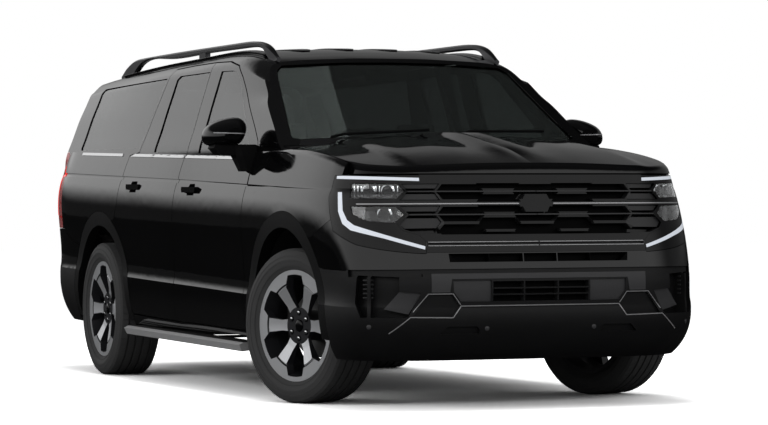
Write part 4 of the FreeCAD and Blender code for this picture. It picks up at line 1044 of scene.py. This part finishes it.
@dataclass
class Front:
    """Grille, lamps and bumper, the parts that give the vehicle its face."""

    nodes: Nodes
    pitch: float = 0.206
    cell_point: float = 0.128
    cell_flat: float = 0.096
    cells_wide: Sequence[Range] = ((1.064, 1.141), (0.953, 1.027), (0.870, 0.939))
    cells_near: Sequence[Range] = ((1.119, 1.196), (1.000, 1.090), (0.913, 0.972), (0.840, 0.900))
    bridges: Sequence[tuple[Range, Range]] = (
        (ANY, (1.033, 1.052)), (ANY, (1.1005, 1.1085)), (ANY, (0.9835, 0.9915)),
        (below(0.090), (0.998, 1.092)))
    wing_fields: Sequence[Flat] = (
        ((-0.704, 1.143), (-0.521, 1.143), (-0.538, 1.120), (-0.684, 1.120)),
        ((-0.690, 1.091), (-0.535, 1.091), (-0.514, 1.063), (-0.718, 1.063)),
        ((-0.718, 1.029), (-0.514, 1.029), (-0.539, 1.004), (-0.692, 1.004)),
        ((-0.706, 0.969), (-0.532, 0.969), (-0.509, 0.945), (-0.536, 0.920), (-0.706, 0.918),
         (-0.728, 0.941)))
    intake_side: Flat = ((-0.482, 0.656), (-0.479, 0.599), (-0.441, 0.551), (-0.274, 0.549), (-0.274, 0.656))
    wedge: Flat = ((0.917, 0.603), (1.023, 0.594), (0.957, 0.488), (0.8355, 0.514))
    lamp_way: Point = (0.829, -0.559, 0.0)
    units: Sequence[tuple[float, float, float, float]] = (
        (2.640, -0.772, 1.107, 0.027), (2.570, -0.846, 1.107, 0.027), (2.640, -0.790, 0.990, 0.030))
    flutes: int = 13
    sensors: Flat = ((-0.888, 0.426), (-0.298, 0.413))
    slats: int = 5

    def build(self) -> None:
        """Dress the face and add its trim."""
        self._grille()
        self._lamps()
        self._flutes()
        self._bumper()

    def _cells(self) -> list[Flat]:
        """Stretched hexagons of the grille from the right-hand columns to the middle one."""
        cells = []
        for column in range(-2, 1):
            y = column * self.pitch
            for low, high in (self.cells_near if column % 2 else self.cells_wide):
                centre = (low + high) / 2
                cells.append([(y - self.cell_point, centre), (y - self.cell_flat, low),
                              (y + self.cell_flat, low), (y + self.cell_point, centre),
                              (y + self.cell_flat, high), (y - self.cell_flat, high)])
        return cells

    def _grille(self) -> None:
        """Gloss grille with dark cells and grey wing fields; the grey on the cell walls and the bright lines
        along the bars are painted highlights.
        """
        bridges = [(GLOSS_BLACK, Zone(y=y, z=z, ahead=above(0.6))) for y, z in self.bridges]
        dress(self.nodes, ["grille"], GLOSS_BLACK,
              (BLACK_MESH_AND_PAINTED_SHADE, Zone(ahead=below(-0.3))),
              (GREY_TRIM_AND_PAINTED_HIGHLIGHT, Zone(ahead=above(0.6), within=self.wing_fields)),
              *bridges,
              # Cell floors: black mesh, made darkest as painted shade inside the cells.
              (BLACK_MESH_AND_PAINTED_SHADE, Zone(z=(0.888, 1.145), ahead=above(0.6), within=self._cells())),
              # Walls of the cells and steps, facing sideways or up and down: grey as a painted highlight.
              (GREY_TRIM_AND_PAINTED_HIGHLIGHT, Zone(y=below(0.70), z=(0.80, 1.18), ahead=(-0.45, 0.45))))
        # Thin bright and grey lines along the bars and lower edges: painted highlights.
        strips = [Strip(f"grille_{name}_right", finish, [(start, z), (middle, z), (stop, z)], width)
                  for name, finish, start, middle, stop, z, width in (
                      ("line_mid", BRIGHT_TRIM_AND_PAINTED_HIGHLIGHT, -0.096, -0.50, -0.905, 1.0425, 0.0055),
                      ("bar_top", GREY_TRIM_AND_PAINTED_HIGHLIGHT, -0.004, -0.30, -0.682, 1.1045, 0.0060),
                      ("bar_low", GREY_TRIM_AND_PAINTED_HIGHLIGHT, -0.004, -0.30, -0.682, 0.9875, 0.0060),
                      ("line_upper", BRIGHT_TRIM_AND_PAINTED_HIGHLIGHT, -0.004, -0.30, -0.600, 0.8495, 0.0028),
                      ("line_lower", BRIGHT_TRIM_AND_PAINTED_HIGHLIGHT, -0.004, -0.30, -0.600, 0.8310, 0.0028))]
        Bench.trim(self.nodes, ["grille", "headlamps"], Approach.FRONT, *strips)

    def _lamps(self) -> None:
        """Lit guides, bezels and projectors behind the clear lenses."""
        def housing(low: Vector, high: Vector) -> Surface:
            """Finish of a solid: a light guide is long and thin, or low and out at the corner."""
            size = high - low
            outer = low.y > 0.60 or high.y < -0.60
            return GUIDE if (size.x > 0.25 and size.z < 0.06) or (size.z < 0.30 and outer) else GLOSS_BLACK

        dress_solids(self.nodes["headlamps"], housing)
        way = Vector(self.lamp_way)
        turn = (0, 0, math.degrees(math.atan2(-way.x, way.y)) + 180.0)
        for number, (x, y, z, radius) in enumerate(self.units):
            front = Vector((x - 0.0035, y + 0.0024, z))
            ring = Bench.lathe(f"lamp_bezel_{number}_right", [
                (radius + 0.0004, 0.0), (radius + 0.009, 0.002), (radius + 0.010, 0.006),
                (radius + 0.008, 0.010), (radius + 0.0004, 0.012)], 40)
            bulb = Bench.lathe(f"lamp_projector_{number}_right", [
                (0.0005, 0.0), (radius * 0.86, 0.0), (radius * 0.84, 0.003), (radius * 0.60, 0.008),
                (radius * 0.30, 0.0105), (0.0005, 0.0115)], 40)
            for piece, finish, back in ((ring, CHROME, 0.016), (bulb, DARK_SCREEN, 0.0002)):
                Bench.put(piece, tuple(front - way * back), turn)
                Bench.finish(piece, finish, paired=True)

    def _flutes(self) -> None:
        """Upright chrome flutes beside the upper lamp units."""
        start, stop = Vector((2.676, -0.735, 0)), Vector((2.515, -0.905, 0))
        for number in range(self.flutes):
            spot = start.lerp(stop, number / (self.flutes - 1))
            if min((spot - Vector((x, y, 0))).length for x, y, _, _ in self.units[:2]) < 0.036:
                continue
            spot -= Vector(self.lamp_way) * 0.030
            post = Bench.slab(f"lamp_flute_{number}_right", [
                (x, y, 1.079) for x, y in circle(10, 0.0048, spot.x, spot.y)], (0, 0, 0.056), 0.001)
            Bench.finish(post, CHROME, paired=True)

    def _bumper(self) -> None:
        """Painted upper band, dark lower part with grey plates and sensors; the grey step walls and the
        bright lines along the edges are painted highlights.
        """
        def wedge(middle: Vector, normal: Vector) -> bool:
            """Whether a face is on the grey wedge in the corner pocket."""
            across = normal.x * self.lamp_way[0] + abs(normal.y) * abs(self.lamp_way[1])
            return across > 0.6 and inside(self.wedge, middle.x * 0.56 - abs(middle.y) * 0.83, middle.z)

        dress(self.nodes, ["front_bumper"], SATIN_BLACK,
              # Floors of the upper slot and the lower intake: black mesh, made darkest as painted shade.
              (BLACK_MESH_AND_PAINTED_SHADE, Zone(x=below(2.80), y=below(0.50), z=(0.747, 0.792))),
              (BLACK_MESH_AND_PAINTED_SHADE, Zone(x=below(2.78), y=below(0.266), z=(0.549, 0.650))),
              (PLATE_GREY, Zone(ahead=above(0.6), within=[self.intake_side])),
              (PLATE_GREY, wedge),
              # Walls of the steps in the lower part, facing sideways or up and down: grey as a painted
              # highlight.
              (GREY_TRIM_AND_PAINTED_HIGHLIGHT, Zone(y=below(0.63), z=(0.465, 0.66), ahead=(-0.5, 0.5))),
              (PAINT, Zone(z=above(0.713), ahead=above(0.2))),
              (PAINT, Zone(y=above(0.86), z=above(0.713), out=above(0.0))))
        mould = Bench.mould(self.nodes, "front_bumper")
        for strip in (
                Strip("centre_plate", PLATE_GREY, [(-0.596, 0.691), (-0.596, 0.597), (-0.500, 0.597),
                                                   (-0.489, 0.664), (0.489, 0.664), (0.500, 0.597),
                                                   (0.596, 0.597), (0.596, 0.691)],
                      thick=0.002, paired=False),
                # Bright lines along the step edges of the skid plate: painted highlights.
                Strip("skid_lip_right", BRIGHT_TRIM_AND_PAINTED_HIGHLIGHT, [(-0.800, 0.392), (-0.702, 0.4735), (-0.4835, 0.4695),
                                              (-0.4400, 0.5265)], 0.0045, longest=0.02),
                Strip("skid_line_mid", BRIGHT_TRIM_AND_PAINTED_HIGHLIGHT, [(-0.4400, 0.5275), (0, 0.5275), (0.4400, 0.5275)], 0.0045,
                      longest=0.02, paired=False),
                Strip("skid_edge_right", BRIGHT_TRIM_AND_PAINTED_HIGHLIGHT, [(-0.690, 0.500), (-0.613, 0.5895), (-0.4835, 0.5895),
                                               (-0.4430, 0.5340)], 0.0035, longest=0.02)):
            Bench.lay(strip, Approach.FRONT, mould)
        for number, (y, z) in enumerate(self.sensors):
            met, spot, normal, _ = mould.ray_cast(Vector((3.2, y, z)), Vector((-1, 0, 0)))
            if not met:
                continue
            disc = Bench.lathe(f"parking_sensor_{number}_right", [
                (0.0004, 0.0), (0.0125, 0.0), (0.0125, 0.001), (0.0105, 0.0022), (0.0004, 0.0025)], 32)
            Bench.put(disc, tuple(spot), (0, 0, math.degrees(math.atan2(normal.y, normal.x)) - 90.0))
            Bench.finish(disc, PLATE_GREY, paired=True)
        bpy.data.objects.remove(mould)
        for row in range(self.slats):
            z = 0.655 - row * 0.022
            slat = Bench.slab(f"corner_slat_{row}_right", [
                (2.640, -0.905, z), (2.668, -0.862, z), (2.652, -0.852, z), (2.624, -0.895, z)],
                (0, 0, 0.008), 0.0015)
            Bench.finish(slat, GREY_TRIM_AND_PAINTED_HIGHLIGHT, paired=True)


@dataclass
class Underside:
    """Frame, engine, exhaust and suspension."""

    nodes: Nodes

    def build(self) -> None:
        """Dress what shows from below."""
        cast = ["engine", "front_suspension", "rear_suspension", "knuckle_right", "knuckle_left"]
        for names, finish in ((["chassis_frame"], FRAME_COAT), (cast, CAST), (["exhaust"], STEEL),
                              (["spare_wheel"], RUBBER)):
            dress(self.nodes, names, finish)


@dataclass(frozen=True)
class Corner:
    """Place of one wheel as parked.

    Args:
        end: front or rear.
        side: Side of the vehicle.
        x: Axle along the vehicle.
        steer: Angle of the wheel in degrees, to the left.
        track: Wheel centre to the middle plane.
        kingpin: Steering axis inboard of the wheel centre.
        height: Wheel centre over the ground.
    """

    end: str
    side: Side
    x: float
    steer: float
    track: float = 0.865
    kingpin: float = 0.090
    height: float = 0.4075

    @property
    def word(self) -> str:
        """Ending of this corner's node names."""
        return f"{self.end}_{self.side.word}"

    @property
    def outward(self) -> Vector:
        """Direction from the wheel's middle out of the vehicle."""
        turn = math.radians(self.steer)
        return Vector((-math.sin(turn), math.cos(turn), 0.0)) * self.side.value

    @property
    def centre(self) -> Vector:
        """Middle of the wheel."""
        pin = self.side.value * (self.track - self.kingpin)
        return Vector((self.x, pin, self.height)) + self.outward * self.kingpin

    @property
    def spin(self) -> Point:
        """Angles that bring a piece made for the right side about the origin to this corner."""
        return (0.0, 0.0, self.steer + (0.0 if self.side is Side.RIGHT else 180.0))


@dataclass
class Wheels:
    """Tyres with sidewall rings and shoulder blocks, and rims with their nuts."""

    nodes: Nodes
    front_x: float = 1.760
    rear_x: float = -1.553
    rest_steer: float = 19.2
    lug_circle: float = 0.0675
    hub_face: float = -0.0865
    blocks: int = 64
    block_shape: Sequence[Point] = ((-0.0155, 0.1280, 0.3940), (0.0155, 0.1280, 0.3940),
                                    (0.0155, 0.1150, 0.4052), (0.0155, 0.0800, 0.4072),
                                    (-0.0155, 0.0800, 0.4072), (-0.0155, 0.1150, 0.4052))
    ring_places: Flat = ((0.3140, 0.0095), (0.3420, 0.0008), (0.3660, 0.0038))

    def build(self) -> None:
        """Dress the wheels and add their trim."""
        for end, x, steer in (("front", self.front_x, self.rest_steer), ("rear", self.rear_x, 0.0)):
            for side in Side:
                corner = Corner(end, side, x, steer)
                self._dress(corner)
                self._trim(corner)
                self._caliper(corner)

    def _dress(self, corner: Corner) -> None:
        """Machined pads and lip, dark pockets and a steel disc.

        Args:
            corner: Place of the wheel.
        """
        centre, outward = corner.centre, corner.outward

        def ring(along: Range, radius: Range, facing: float = -2.0) -> Test:
            """Test for faces by their place along and round the axle, and by how far they look outward."""
            def test(middle: Vector, normal: Vector) -> bool:
                """Whether a face is in the ring."""
                arm = middle - centre
                reach = arm.dot(outward)
                return (along[0] < reach < along[1] and radius[0] < (arm - outward * reach).length < radius[1]
                        and normal.dot(outward) > facing)
            return test

        dress(self.nodes, [f"rim_{corner.word}"], POCKET,
              (DISC_STEEL, ring((-0.055, -0.015), (0.085, 0.176))),
              (MACHINED, ring(above(0.05), above(0.096), 0.80)),
              (MACHINED, ring(above(0.10), above(0.277))))
        dress(self.nodes, [f"tyre_{corner.word}"], RUBBER)

    def _trim(self, corner: Corner) -> None:
        """Nuts, cap, sidewall rings and tread blocks of one wheel.

        Args:
            corner: Place of the wheel.
        """
        face, word = self.hub_face, corner.word
        nut = Bench.slab(f"wheel_nuts_{word}", [
            (x, face + 0.016, z) for x, z in circle(6, 0.0108, 0.0, self.lug_circle)], (0, -0.022, 0), 0.0018)
        Bench.repeat(nut, 6)
        cap = Bench.lathe(f"wheel_cap_{word}", [
            (0.0005, face + 0.002), (0.0315, face + 0.002), (0.0315, face - 0.003), (0.029, face - 0.0055),
            (0.015, face - 0.0075), (0.0005, face - 0.008)], 48)
        pieces = [(nut, CHROME), (cap, GLOSS_BLACK)]
        for name, sign in (("tread_blocks", -1), ("tread_blocks_inner", 1)):
            corners = [(x, sign * y, z) for x, y, z in self.block_shape]
            block = Bench.slab(f"{name}_{word}", corners, (0, 0, -0.006))
            Bench.repeat(block, self.blocks)
            pieces.append((block, RUBBER))
        for number, (radius, sink) in enumerate(self.ring_places):
            root, crest = -0.1405 + sink, -0.1434 + sink
            ring = Bench.lathe(f"sidewall_ring_{number}_{word}", [
                (radius - 0.0020, root), (radius - 0.0014, crest), (radius + 0.0014, crest),
                (radius + 0.0020, root)], 96)
            pieces.append((ring, RUBBER))
        for piece, finish in pieces:
            Bench.put(piece, tuple(corner.centre), corner.spin)
            Bench.finish(piece, finish, f"wheel_{word}", 40.0)

    def _caliper(self, corner: Corner) -> None:
        """Brake caliper over the disc, carried by the hub.

        Args:
            corner: Place of the wheel.
        """
        angles = (1.15, 1.45, 1.75, 2.05)
        corners = [(-radius * math.sin(angle), -0.012, radius * math.cos(angle))
                   for radius, turn in ((0.122, angles), (0.196, angles[::-1])) for angle in turn]
        caliper = Bench.slab(f"brake_caliper_{corner.word}", corners, (0, 0.026, 0), 0.004)
        Bench.put(caliper, tuple(corner.centre), corner.spin)
        Bench.finish(caliper, CAST, f"carrier_{corner.side.word}" if corner.end == "front" else "body")


@dataclass
class Cabin:
    """Seats, dashboard, steering wheel and door trim."""

    nodes: Nodes
    rows: Flat = ((0.520, -0.400), (0.520, 0.400), (-0.440, -0.420), (-0.440, 0.420), (-1.420, -0.310),
                  (-1.420, 0.310))
    vents: tuple[float, ...] = (-0.700, -0.215, 0.215, 0.700)
    pressure: float = 4.0
    frames: int = 20

    def build(self) -> None:
        """Dress the cabin and add its trim."""
        dress(self.nodes, ["seats", "steering_wheel"], HIDE)
        dress(self.nodes, ["dashboard"], SOFT_PLASTIC)
        self._dash()
        self._doors()
        self._seats()

    def _lobe(self, low: float, high: float, y0: float, y1: float, ahead: float = 0.0) -> bpy.types.Object:
        """One sewn panel of a backrest, which leans back as it rises.

        Args:
            low: Height of its lower seam.
            high: Height of its upper seam.
            y0: Its right edge.
            y1: Its left edge.
            ahead: How far it stands forward of the plain back.

        Returns:
            The panel.
        """
        share0, share1 = ((z - 0.76) / 0.57 for z in (low, high))
        corners = [(-0.242 - 0.14 * share0, y0, low), (-0.138 - 0.17 * share0 + ahead, y0, low),
                   (-0.138 - 0.17 * share1 + ahead, y0, high), (-0.242 - 0.14 * share1, y0, high)]
        return Bench.slab("panel", corners, (0, y1 - y0, 0), 0.026)

    def _pad(self, name: str, lobes: Sequence[bpy.types.Object], voxel: float,
             cap: float) -> bpy.types.Object:
        """Swollen pad from sewn panels that lie side by side.

        Args:
            name: Name of the pad.
            lobes: The panels.
            voxel: Size of the remesh.
            cap: How far a point may move as the pad swells.

        Returns:
            The pad.
        """
        for lobe in lobes:
            Bench.settle(lobe)
        Bench.pick(lobes[0])
        for lobe in lobes[1:]:
            lobe.select_set(True)
        if len(lobes) > 1:
            bpy.ops.object.join()
        pad = bpy.context.object
        pad.name = name
        mesh = pad.modifiers.new("even", "REMESH")
        mesh.mode = "VOXEL"
        mesh.voxel_size = voxel
        bpy.ops.object.modifier_apply(modifier="even")
        self._swell(pad, cap)
        rounding = pad.modifiers.new("rounding", "SUBSURF")
        rounding.levels = rounding.render_levels = 1
        bpy.ops.object.modifier_apply(modifier="rounding")
        bpy.ops.object.shade_smooth()
        pad.data.materials.clear()
        pad.data.materials.append(HIDE.material())
        return pad

    def _swell(self, pad: bpy.types.Object, cap: float) -> None:
        """Let a pad swell as cloth under pressure, and keep the result.

        Args:
            pad: The pad.
            cap: How far a point may move.
        """
        start = [corner.co.copy() for corner in pad.data.vertices]
        cloth = pad.modifiers.new("swell", "CLOTH")
        cloth.settings.use_pressure = True
        cloth.settings.uniform_pressure_force = self.pressure
        cloth.settings.effector_weights.gravity = 0.0
        cloth.settings.quality = 4
        cloth.point_cache.frame_start = 1
        cloth.point_cache.frame_end = self.frames
        for frame in range(1, self.frames + 1):
            bpy.context.scene.frame_set(frame)
        bpy.ops.object.modifier_apply(modifier="swell")
        bpy.context.scene.frame_set(1)
        for corner, place in zip(pad.data.vertices, start):
            shift = corner.co - place
            if shift.length > cap:
                corner.co = place + shift.normalized() * cap
        LOG.info("swelled %s, %d points", pad.name, len(start))

    def _seats(self) -> None:
        """Padded seats in three rows, each on its base, in the room of the construction seats."""
        cushion = self._pad("seat_cushion_0", [
            Bench.block("panel", (-0.240, -0.155, 0.655), (0.240, 0.155, 0.770), 0.030),
            Bench.block("panel", (-0.240, -0.258, 0.655), (0.236, -0.155, 0.778), 0.034),
            Bench.block("panel", (-0.240, 0.155, 0.655), (0.236, 0.258, 0.778), 0.034)], 0.012, 0.010)
        back = self._pad("seat_back_0", [
            self._lobe(0.785, 1.060, -0.150, 0.150), self._lobe(1.060, 1.318, -0.150, 0.150),
            self._lobe(0.790, 1.300, -0.256, -0.150, 0.004), self._lobe(0.790, 1.300, 0.150, 0.256, 0.004)],
            0.012, 0.008)
        head = self._pad("seat_head_0", [
            Bench.block("panel", (-0.378, -0.122, 1.358), (-0.307, 0.122, 1.512), 0.030)], 0.010, 0.008)
        for number, (x, y) in enumerate(self.rows, 1):
            for pattern in (cushion, back, head):
                Bench.pick(pattern)
                bpy.ops.object.duplicate()
                pad = bpy.context.object
                pad.name = pattern.name.replace("_0", f"_{number}")
                Bench.put(pad, (x, y, 0.0))
                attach(pad, "body")
                LOG.info("made %s", pad.name)
            base = Bench.block(f"seat_base_{number}", (x - 0.200, y - 0.230, 0.456),
                               (x + 0.200, y + 0.230, 0.650), 0.012)
            Bench.finish(base, SOFT_PLASTIC)
            for post, shift in (("a", -0.05), ("b", 0.05)):
                rod = Bench.slab(f"seat_post_{number}{post}", [
                    (a, b, 1.300) for a, b in circle(12, 0.007, x - 0.344, y + shift)], (0, 0, 0.075), 0.001)
                Bench.finish(rod, CHROME)
        for pattern in (cushion, back, head):
            bpy.data.objects.remove(pattern)
        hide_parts("seats")

    def _dash(self) -> None:
        """Displays, instrument hood, vents, console and inside mirror."""
        vents = [(f"air_vent_{number}", GLOSS_BLACK, (-0.008, 0, 0), 0.002, [
            (1.062, y - 0.060, 1.130), (1.062, y + 0.060, 1.130), (1.056, y + 0.060, 1.172),
            (1.056, y - 0.060, 1.172)]) for number, y in enumerate(self.vents)]
        for name, finish, push, bevel, corners in (
                ("centre_display", DARK_SCREEN, (-0.012, 0, 0), 0.003, [
                    (1.050, -0.150, 1.190), (1.050, 0.150, 1.190), (1.066, 0.150, 1.020),
                    (1.066, -0.150, 1.020)]),
                ("instrument_hood", SOFT_PLASTIC, (-0.105, 0, -0.004), 0.008, [
                    (1.110, 0.215, 1.252), (1.110, 0.585, 1.252), (1.120, 0.555, 1.305),
                    (1.120, 0.245, 1.305)]),
                ("instrument_display", DARK_SCREEN, (-0.006, 0, 0), 0.002, [
                    (1.052, 0.245, 1.185), (1.052, 0.555, 1.185), (1.044, 0.555, 1.245),
                    (1.044, 0.245, 1.245)]),
                *vents,
                ("centre_console", SOFT_PLASTIC, (0, 0.230, 0), 0.010, [
                    (1.020, -0.115, 0.470), (0.300, -0.115, 0.470), (0.300, -0.115, 0.740),
                    (0.420, -0.115, 0.780), (0.820, -0.115, 0.760), (1.050, -0.115, 0.860)]),
                ("inside_mirror", GLOSS_BLACK, (0.022, 0, 0.004), 0.006, [
                    (0.700, -0.125, 1.740), (0.700, 0.125, 1.740), (0.708, 0.118, 1.800),
                    (0.708, -0.118, 1.800)])):
            Bench.finish(Bench.slab(name, corners, push, bevel), finish)

    def _doors(self) -> None:
        """Armrests on the inner faces of the doors."""
        for body, start, stop in (("door_front_right", 0.130, 0.830), ("door_rear_right", -0.820, -0.180)):
            rest = Bench.slab(f"armrest_{body}", [
                (start, -0.925, 0.880), (stop, -0.925, 0.930), (stop, -0.925, 0.995), (start, -0.925, 0.955)],
                (0, 0.062, 0), 0.014)
            Bench.finish(rest, HIDE, body, paired=True)


@dataclass
class Studio:
    """Floor, lights, background and camera of the photograph.

    Ranges of the world's brightness are parts of a view direction, and of its height where not said.
    """

    camera_at: Point = (17.9717, -6.9447, 1.0229)
    azimuth: float = 68.123
    elevation: float = 0.081
    roll: float = -0.277
    lens: float = 153.9
    floor_half: float = 60.0
    floor_plain: float = 0.45
    floor_dark: float = 0.02
    floor_white: float = 2.3
    fill: float = 0.45
    low_rise: Range = (0.03, 0.14)
    low_sky: float = 0.03
    high_fade: Range = (0.38, 0.56)
    ceiling: float = 0.05
    side_fade: Range = (0.40, 0.80)
    far_sky: float = 0.18

    def build(self) -> None:
        """Make the stage."""
        self._floor()
        self._world()
        self._lamps()
        self._camera()

    def _floor(self) -> None:
        """Pale floor: white to the camera with the shadow kept, dark to polished faces as in the photo."""
        bpy.ops.object.select_all(action="DESELECT")
        bpy.ops.mesh.primitive_plane_add(size=2 * self.floor_half, location=(0, 0, 0))
        floor = bpy.context.object
        floor.name = "studio_floor"
        made = bpy.data.materials.new("pale_floor")
        made.use_nodes = True
        tree = Wiring(made.node_tree)
        tree.tree.nodes.remove(tree.shader)
        path = tree.add("LightPath").outputs
        tone: object = self.floor_plain
        for ray, shade in (("Is Glossy Ray", self.floor_dark), ("Is Camera Ray", self.floor_white)):
            tone = tree.add("Mix", {"Factor": path[ray], "A": tone, "B": shade}).outputs["Result"]
        shader = tree.add("BsdfDiffuse", {"Color": tone})
        tree.feed(tree.tree.nodes["Material Output"], {"Surface": shader.outputs["BSDF"]})
        floor.data.materials.append(made)

    def _world(self) -> None:
        """White background for camera and glass, white near the horizon for metal, soft fill for the rest."""
        world = bpy.data.worlds.new("studio_world")
        bpy.context.scene.world = world
        world.use_nodes = True
        tree = Wiring(world.node_tree)
        path = tree.add("LightPath").outputs
        seen = tree.add("Math", {0: path["Is Camera Ray"], 1: path["Is Transmission Ray"]},
                        operation="MAXIMUM")
        way = tree.add("SeparateXYZ", {"Vector": tree.add("TexCoord").outputs["Generated"]}).outputs
        lean = tree.add("Math", {0: way["X"], 1: -0.5, 2: way["Y"]}, operation="MULTIPLY_ADD")
        band: object = 1.0
        for value, (start, stop), first, last in (
                (way["Z"], self.high_fade, 1.0, self.ceiling),
                (lean.outputs[0], self.side_fade, 1.0, self.far_sky),
                (way["Z"], self.low_rise, self.low_sky, 1.0)):
            ramp = tree.add("MapRange", {"Value": value, "From Min": start, "From Max": stop, "To Min": first,
                                         "To Max": last}, interpolation_type="SMOOTHSTEP")
            band = tree.add("Math", {0: band, 1: ramp.outputs["Result"]}, operation="MULTIPLY").outputs[0]
        power = tree.add("Mix", {"Factor": path["Is Glossy Ray"], "A": self.fill, "B": band})
        whole = tree.add("Mix", {"Factor": seen.outputs[0], "A": power.outputs["Result"], "B": 1.0})
        tree.feed(tree.shader, {"Color": (1.0, 1.0, 1.0, 1.0), "Strength": whole.outputs["Result"]})

    def _lamps(self) -> None:
        """Soft boxes above and beside the vehicle."""
        for name, place, turn, wide, deep, power in (
                ("top_box", (0.0, 0.0, 7.0), (0, 0, 0), 7.0, 3.0, 300.0),
                ("side_box", (1.0, -9.0, 4.0), (66, 0, 0), 9.0, 1.5, 200.0),
                ("front_box", (11.0, -2.0, 4.0), (0, 66, 0), 1.5, 6.0, 160.0)):
            data = bpy.data.lights.new(name, "AREA")
            data.shape = "RECTANGLE"
            data.size = wide
            data.size_y = deep
            data.energy = power
            lamp = bpy.data.objects.new(name, data)
            lamp.location = place
            lamp.rotation_euler = Euler([math.radians(angle) for angle in turn])
            lamp.visible_glossy = False
            bpy.context.scene.collection.objects.link(lamp)

    def _camera(self) -> None:
        """Camera at the photograph's place and angle."""
        data = bpy.data.cameras.new("photo_camera")
        data.sensor_width = 36.0
        data.lens = self.lens
        data.clip_start = 0.5
        data.clip_end = 400.0
        camera = bpy.data.objects.new("photo_camera", data)
        turn, rise = math.radians(self.azimuth), math.radians(self.elevation)
        back = Vector((math.sin(turn) * math.cos(rise), -math.cos(turn) * math.cos(rise), math.sin(rise)))
        camera.rotation_mode = "QUATERNION"
        aim = (-back).to_track_quat("-Z", "Y").to_matrix()
        aim = aim @ Matrix.Rotation(math.radians(self.roll), 3, "Z")
        camera.rotation_quaternion = aim.to_quaternion()
        camera.location = self.camera_at
        bpy.context.scene.collection.objects.link(camera)
        bpy.context.scene.camera = camera


def main() -> None:
    """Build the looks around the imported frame."""
    logging.basicConfig(level=logging.INFO, format="%(name)s %(message)s")
    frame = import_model()
    for assembly in (Coachwork, Front, Underside, Wheels, Cabin):
        assembly(frame["nodes"]).build()
    Studio().build()
    bpy.context.scene.view_settings.view_transform = "Standard"


if __name__ == "__main__":
    main()
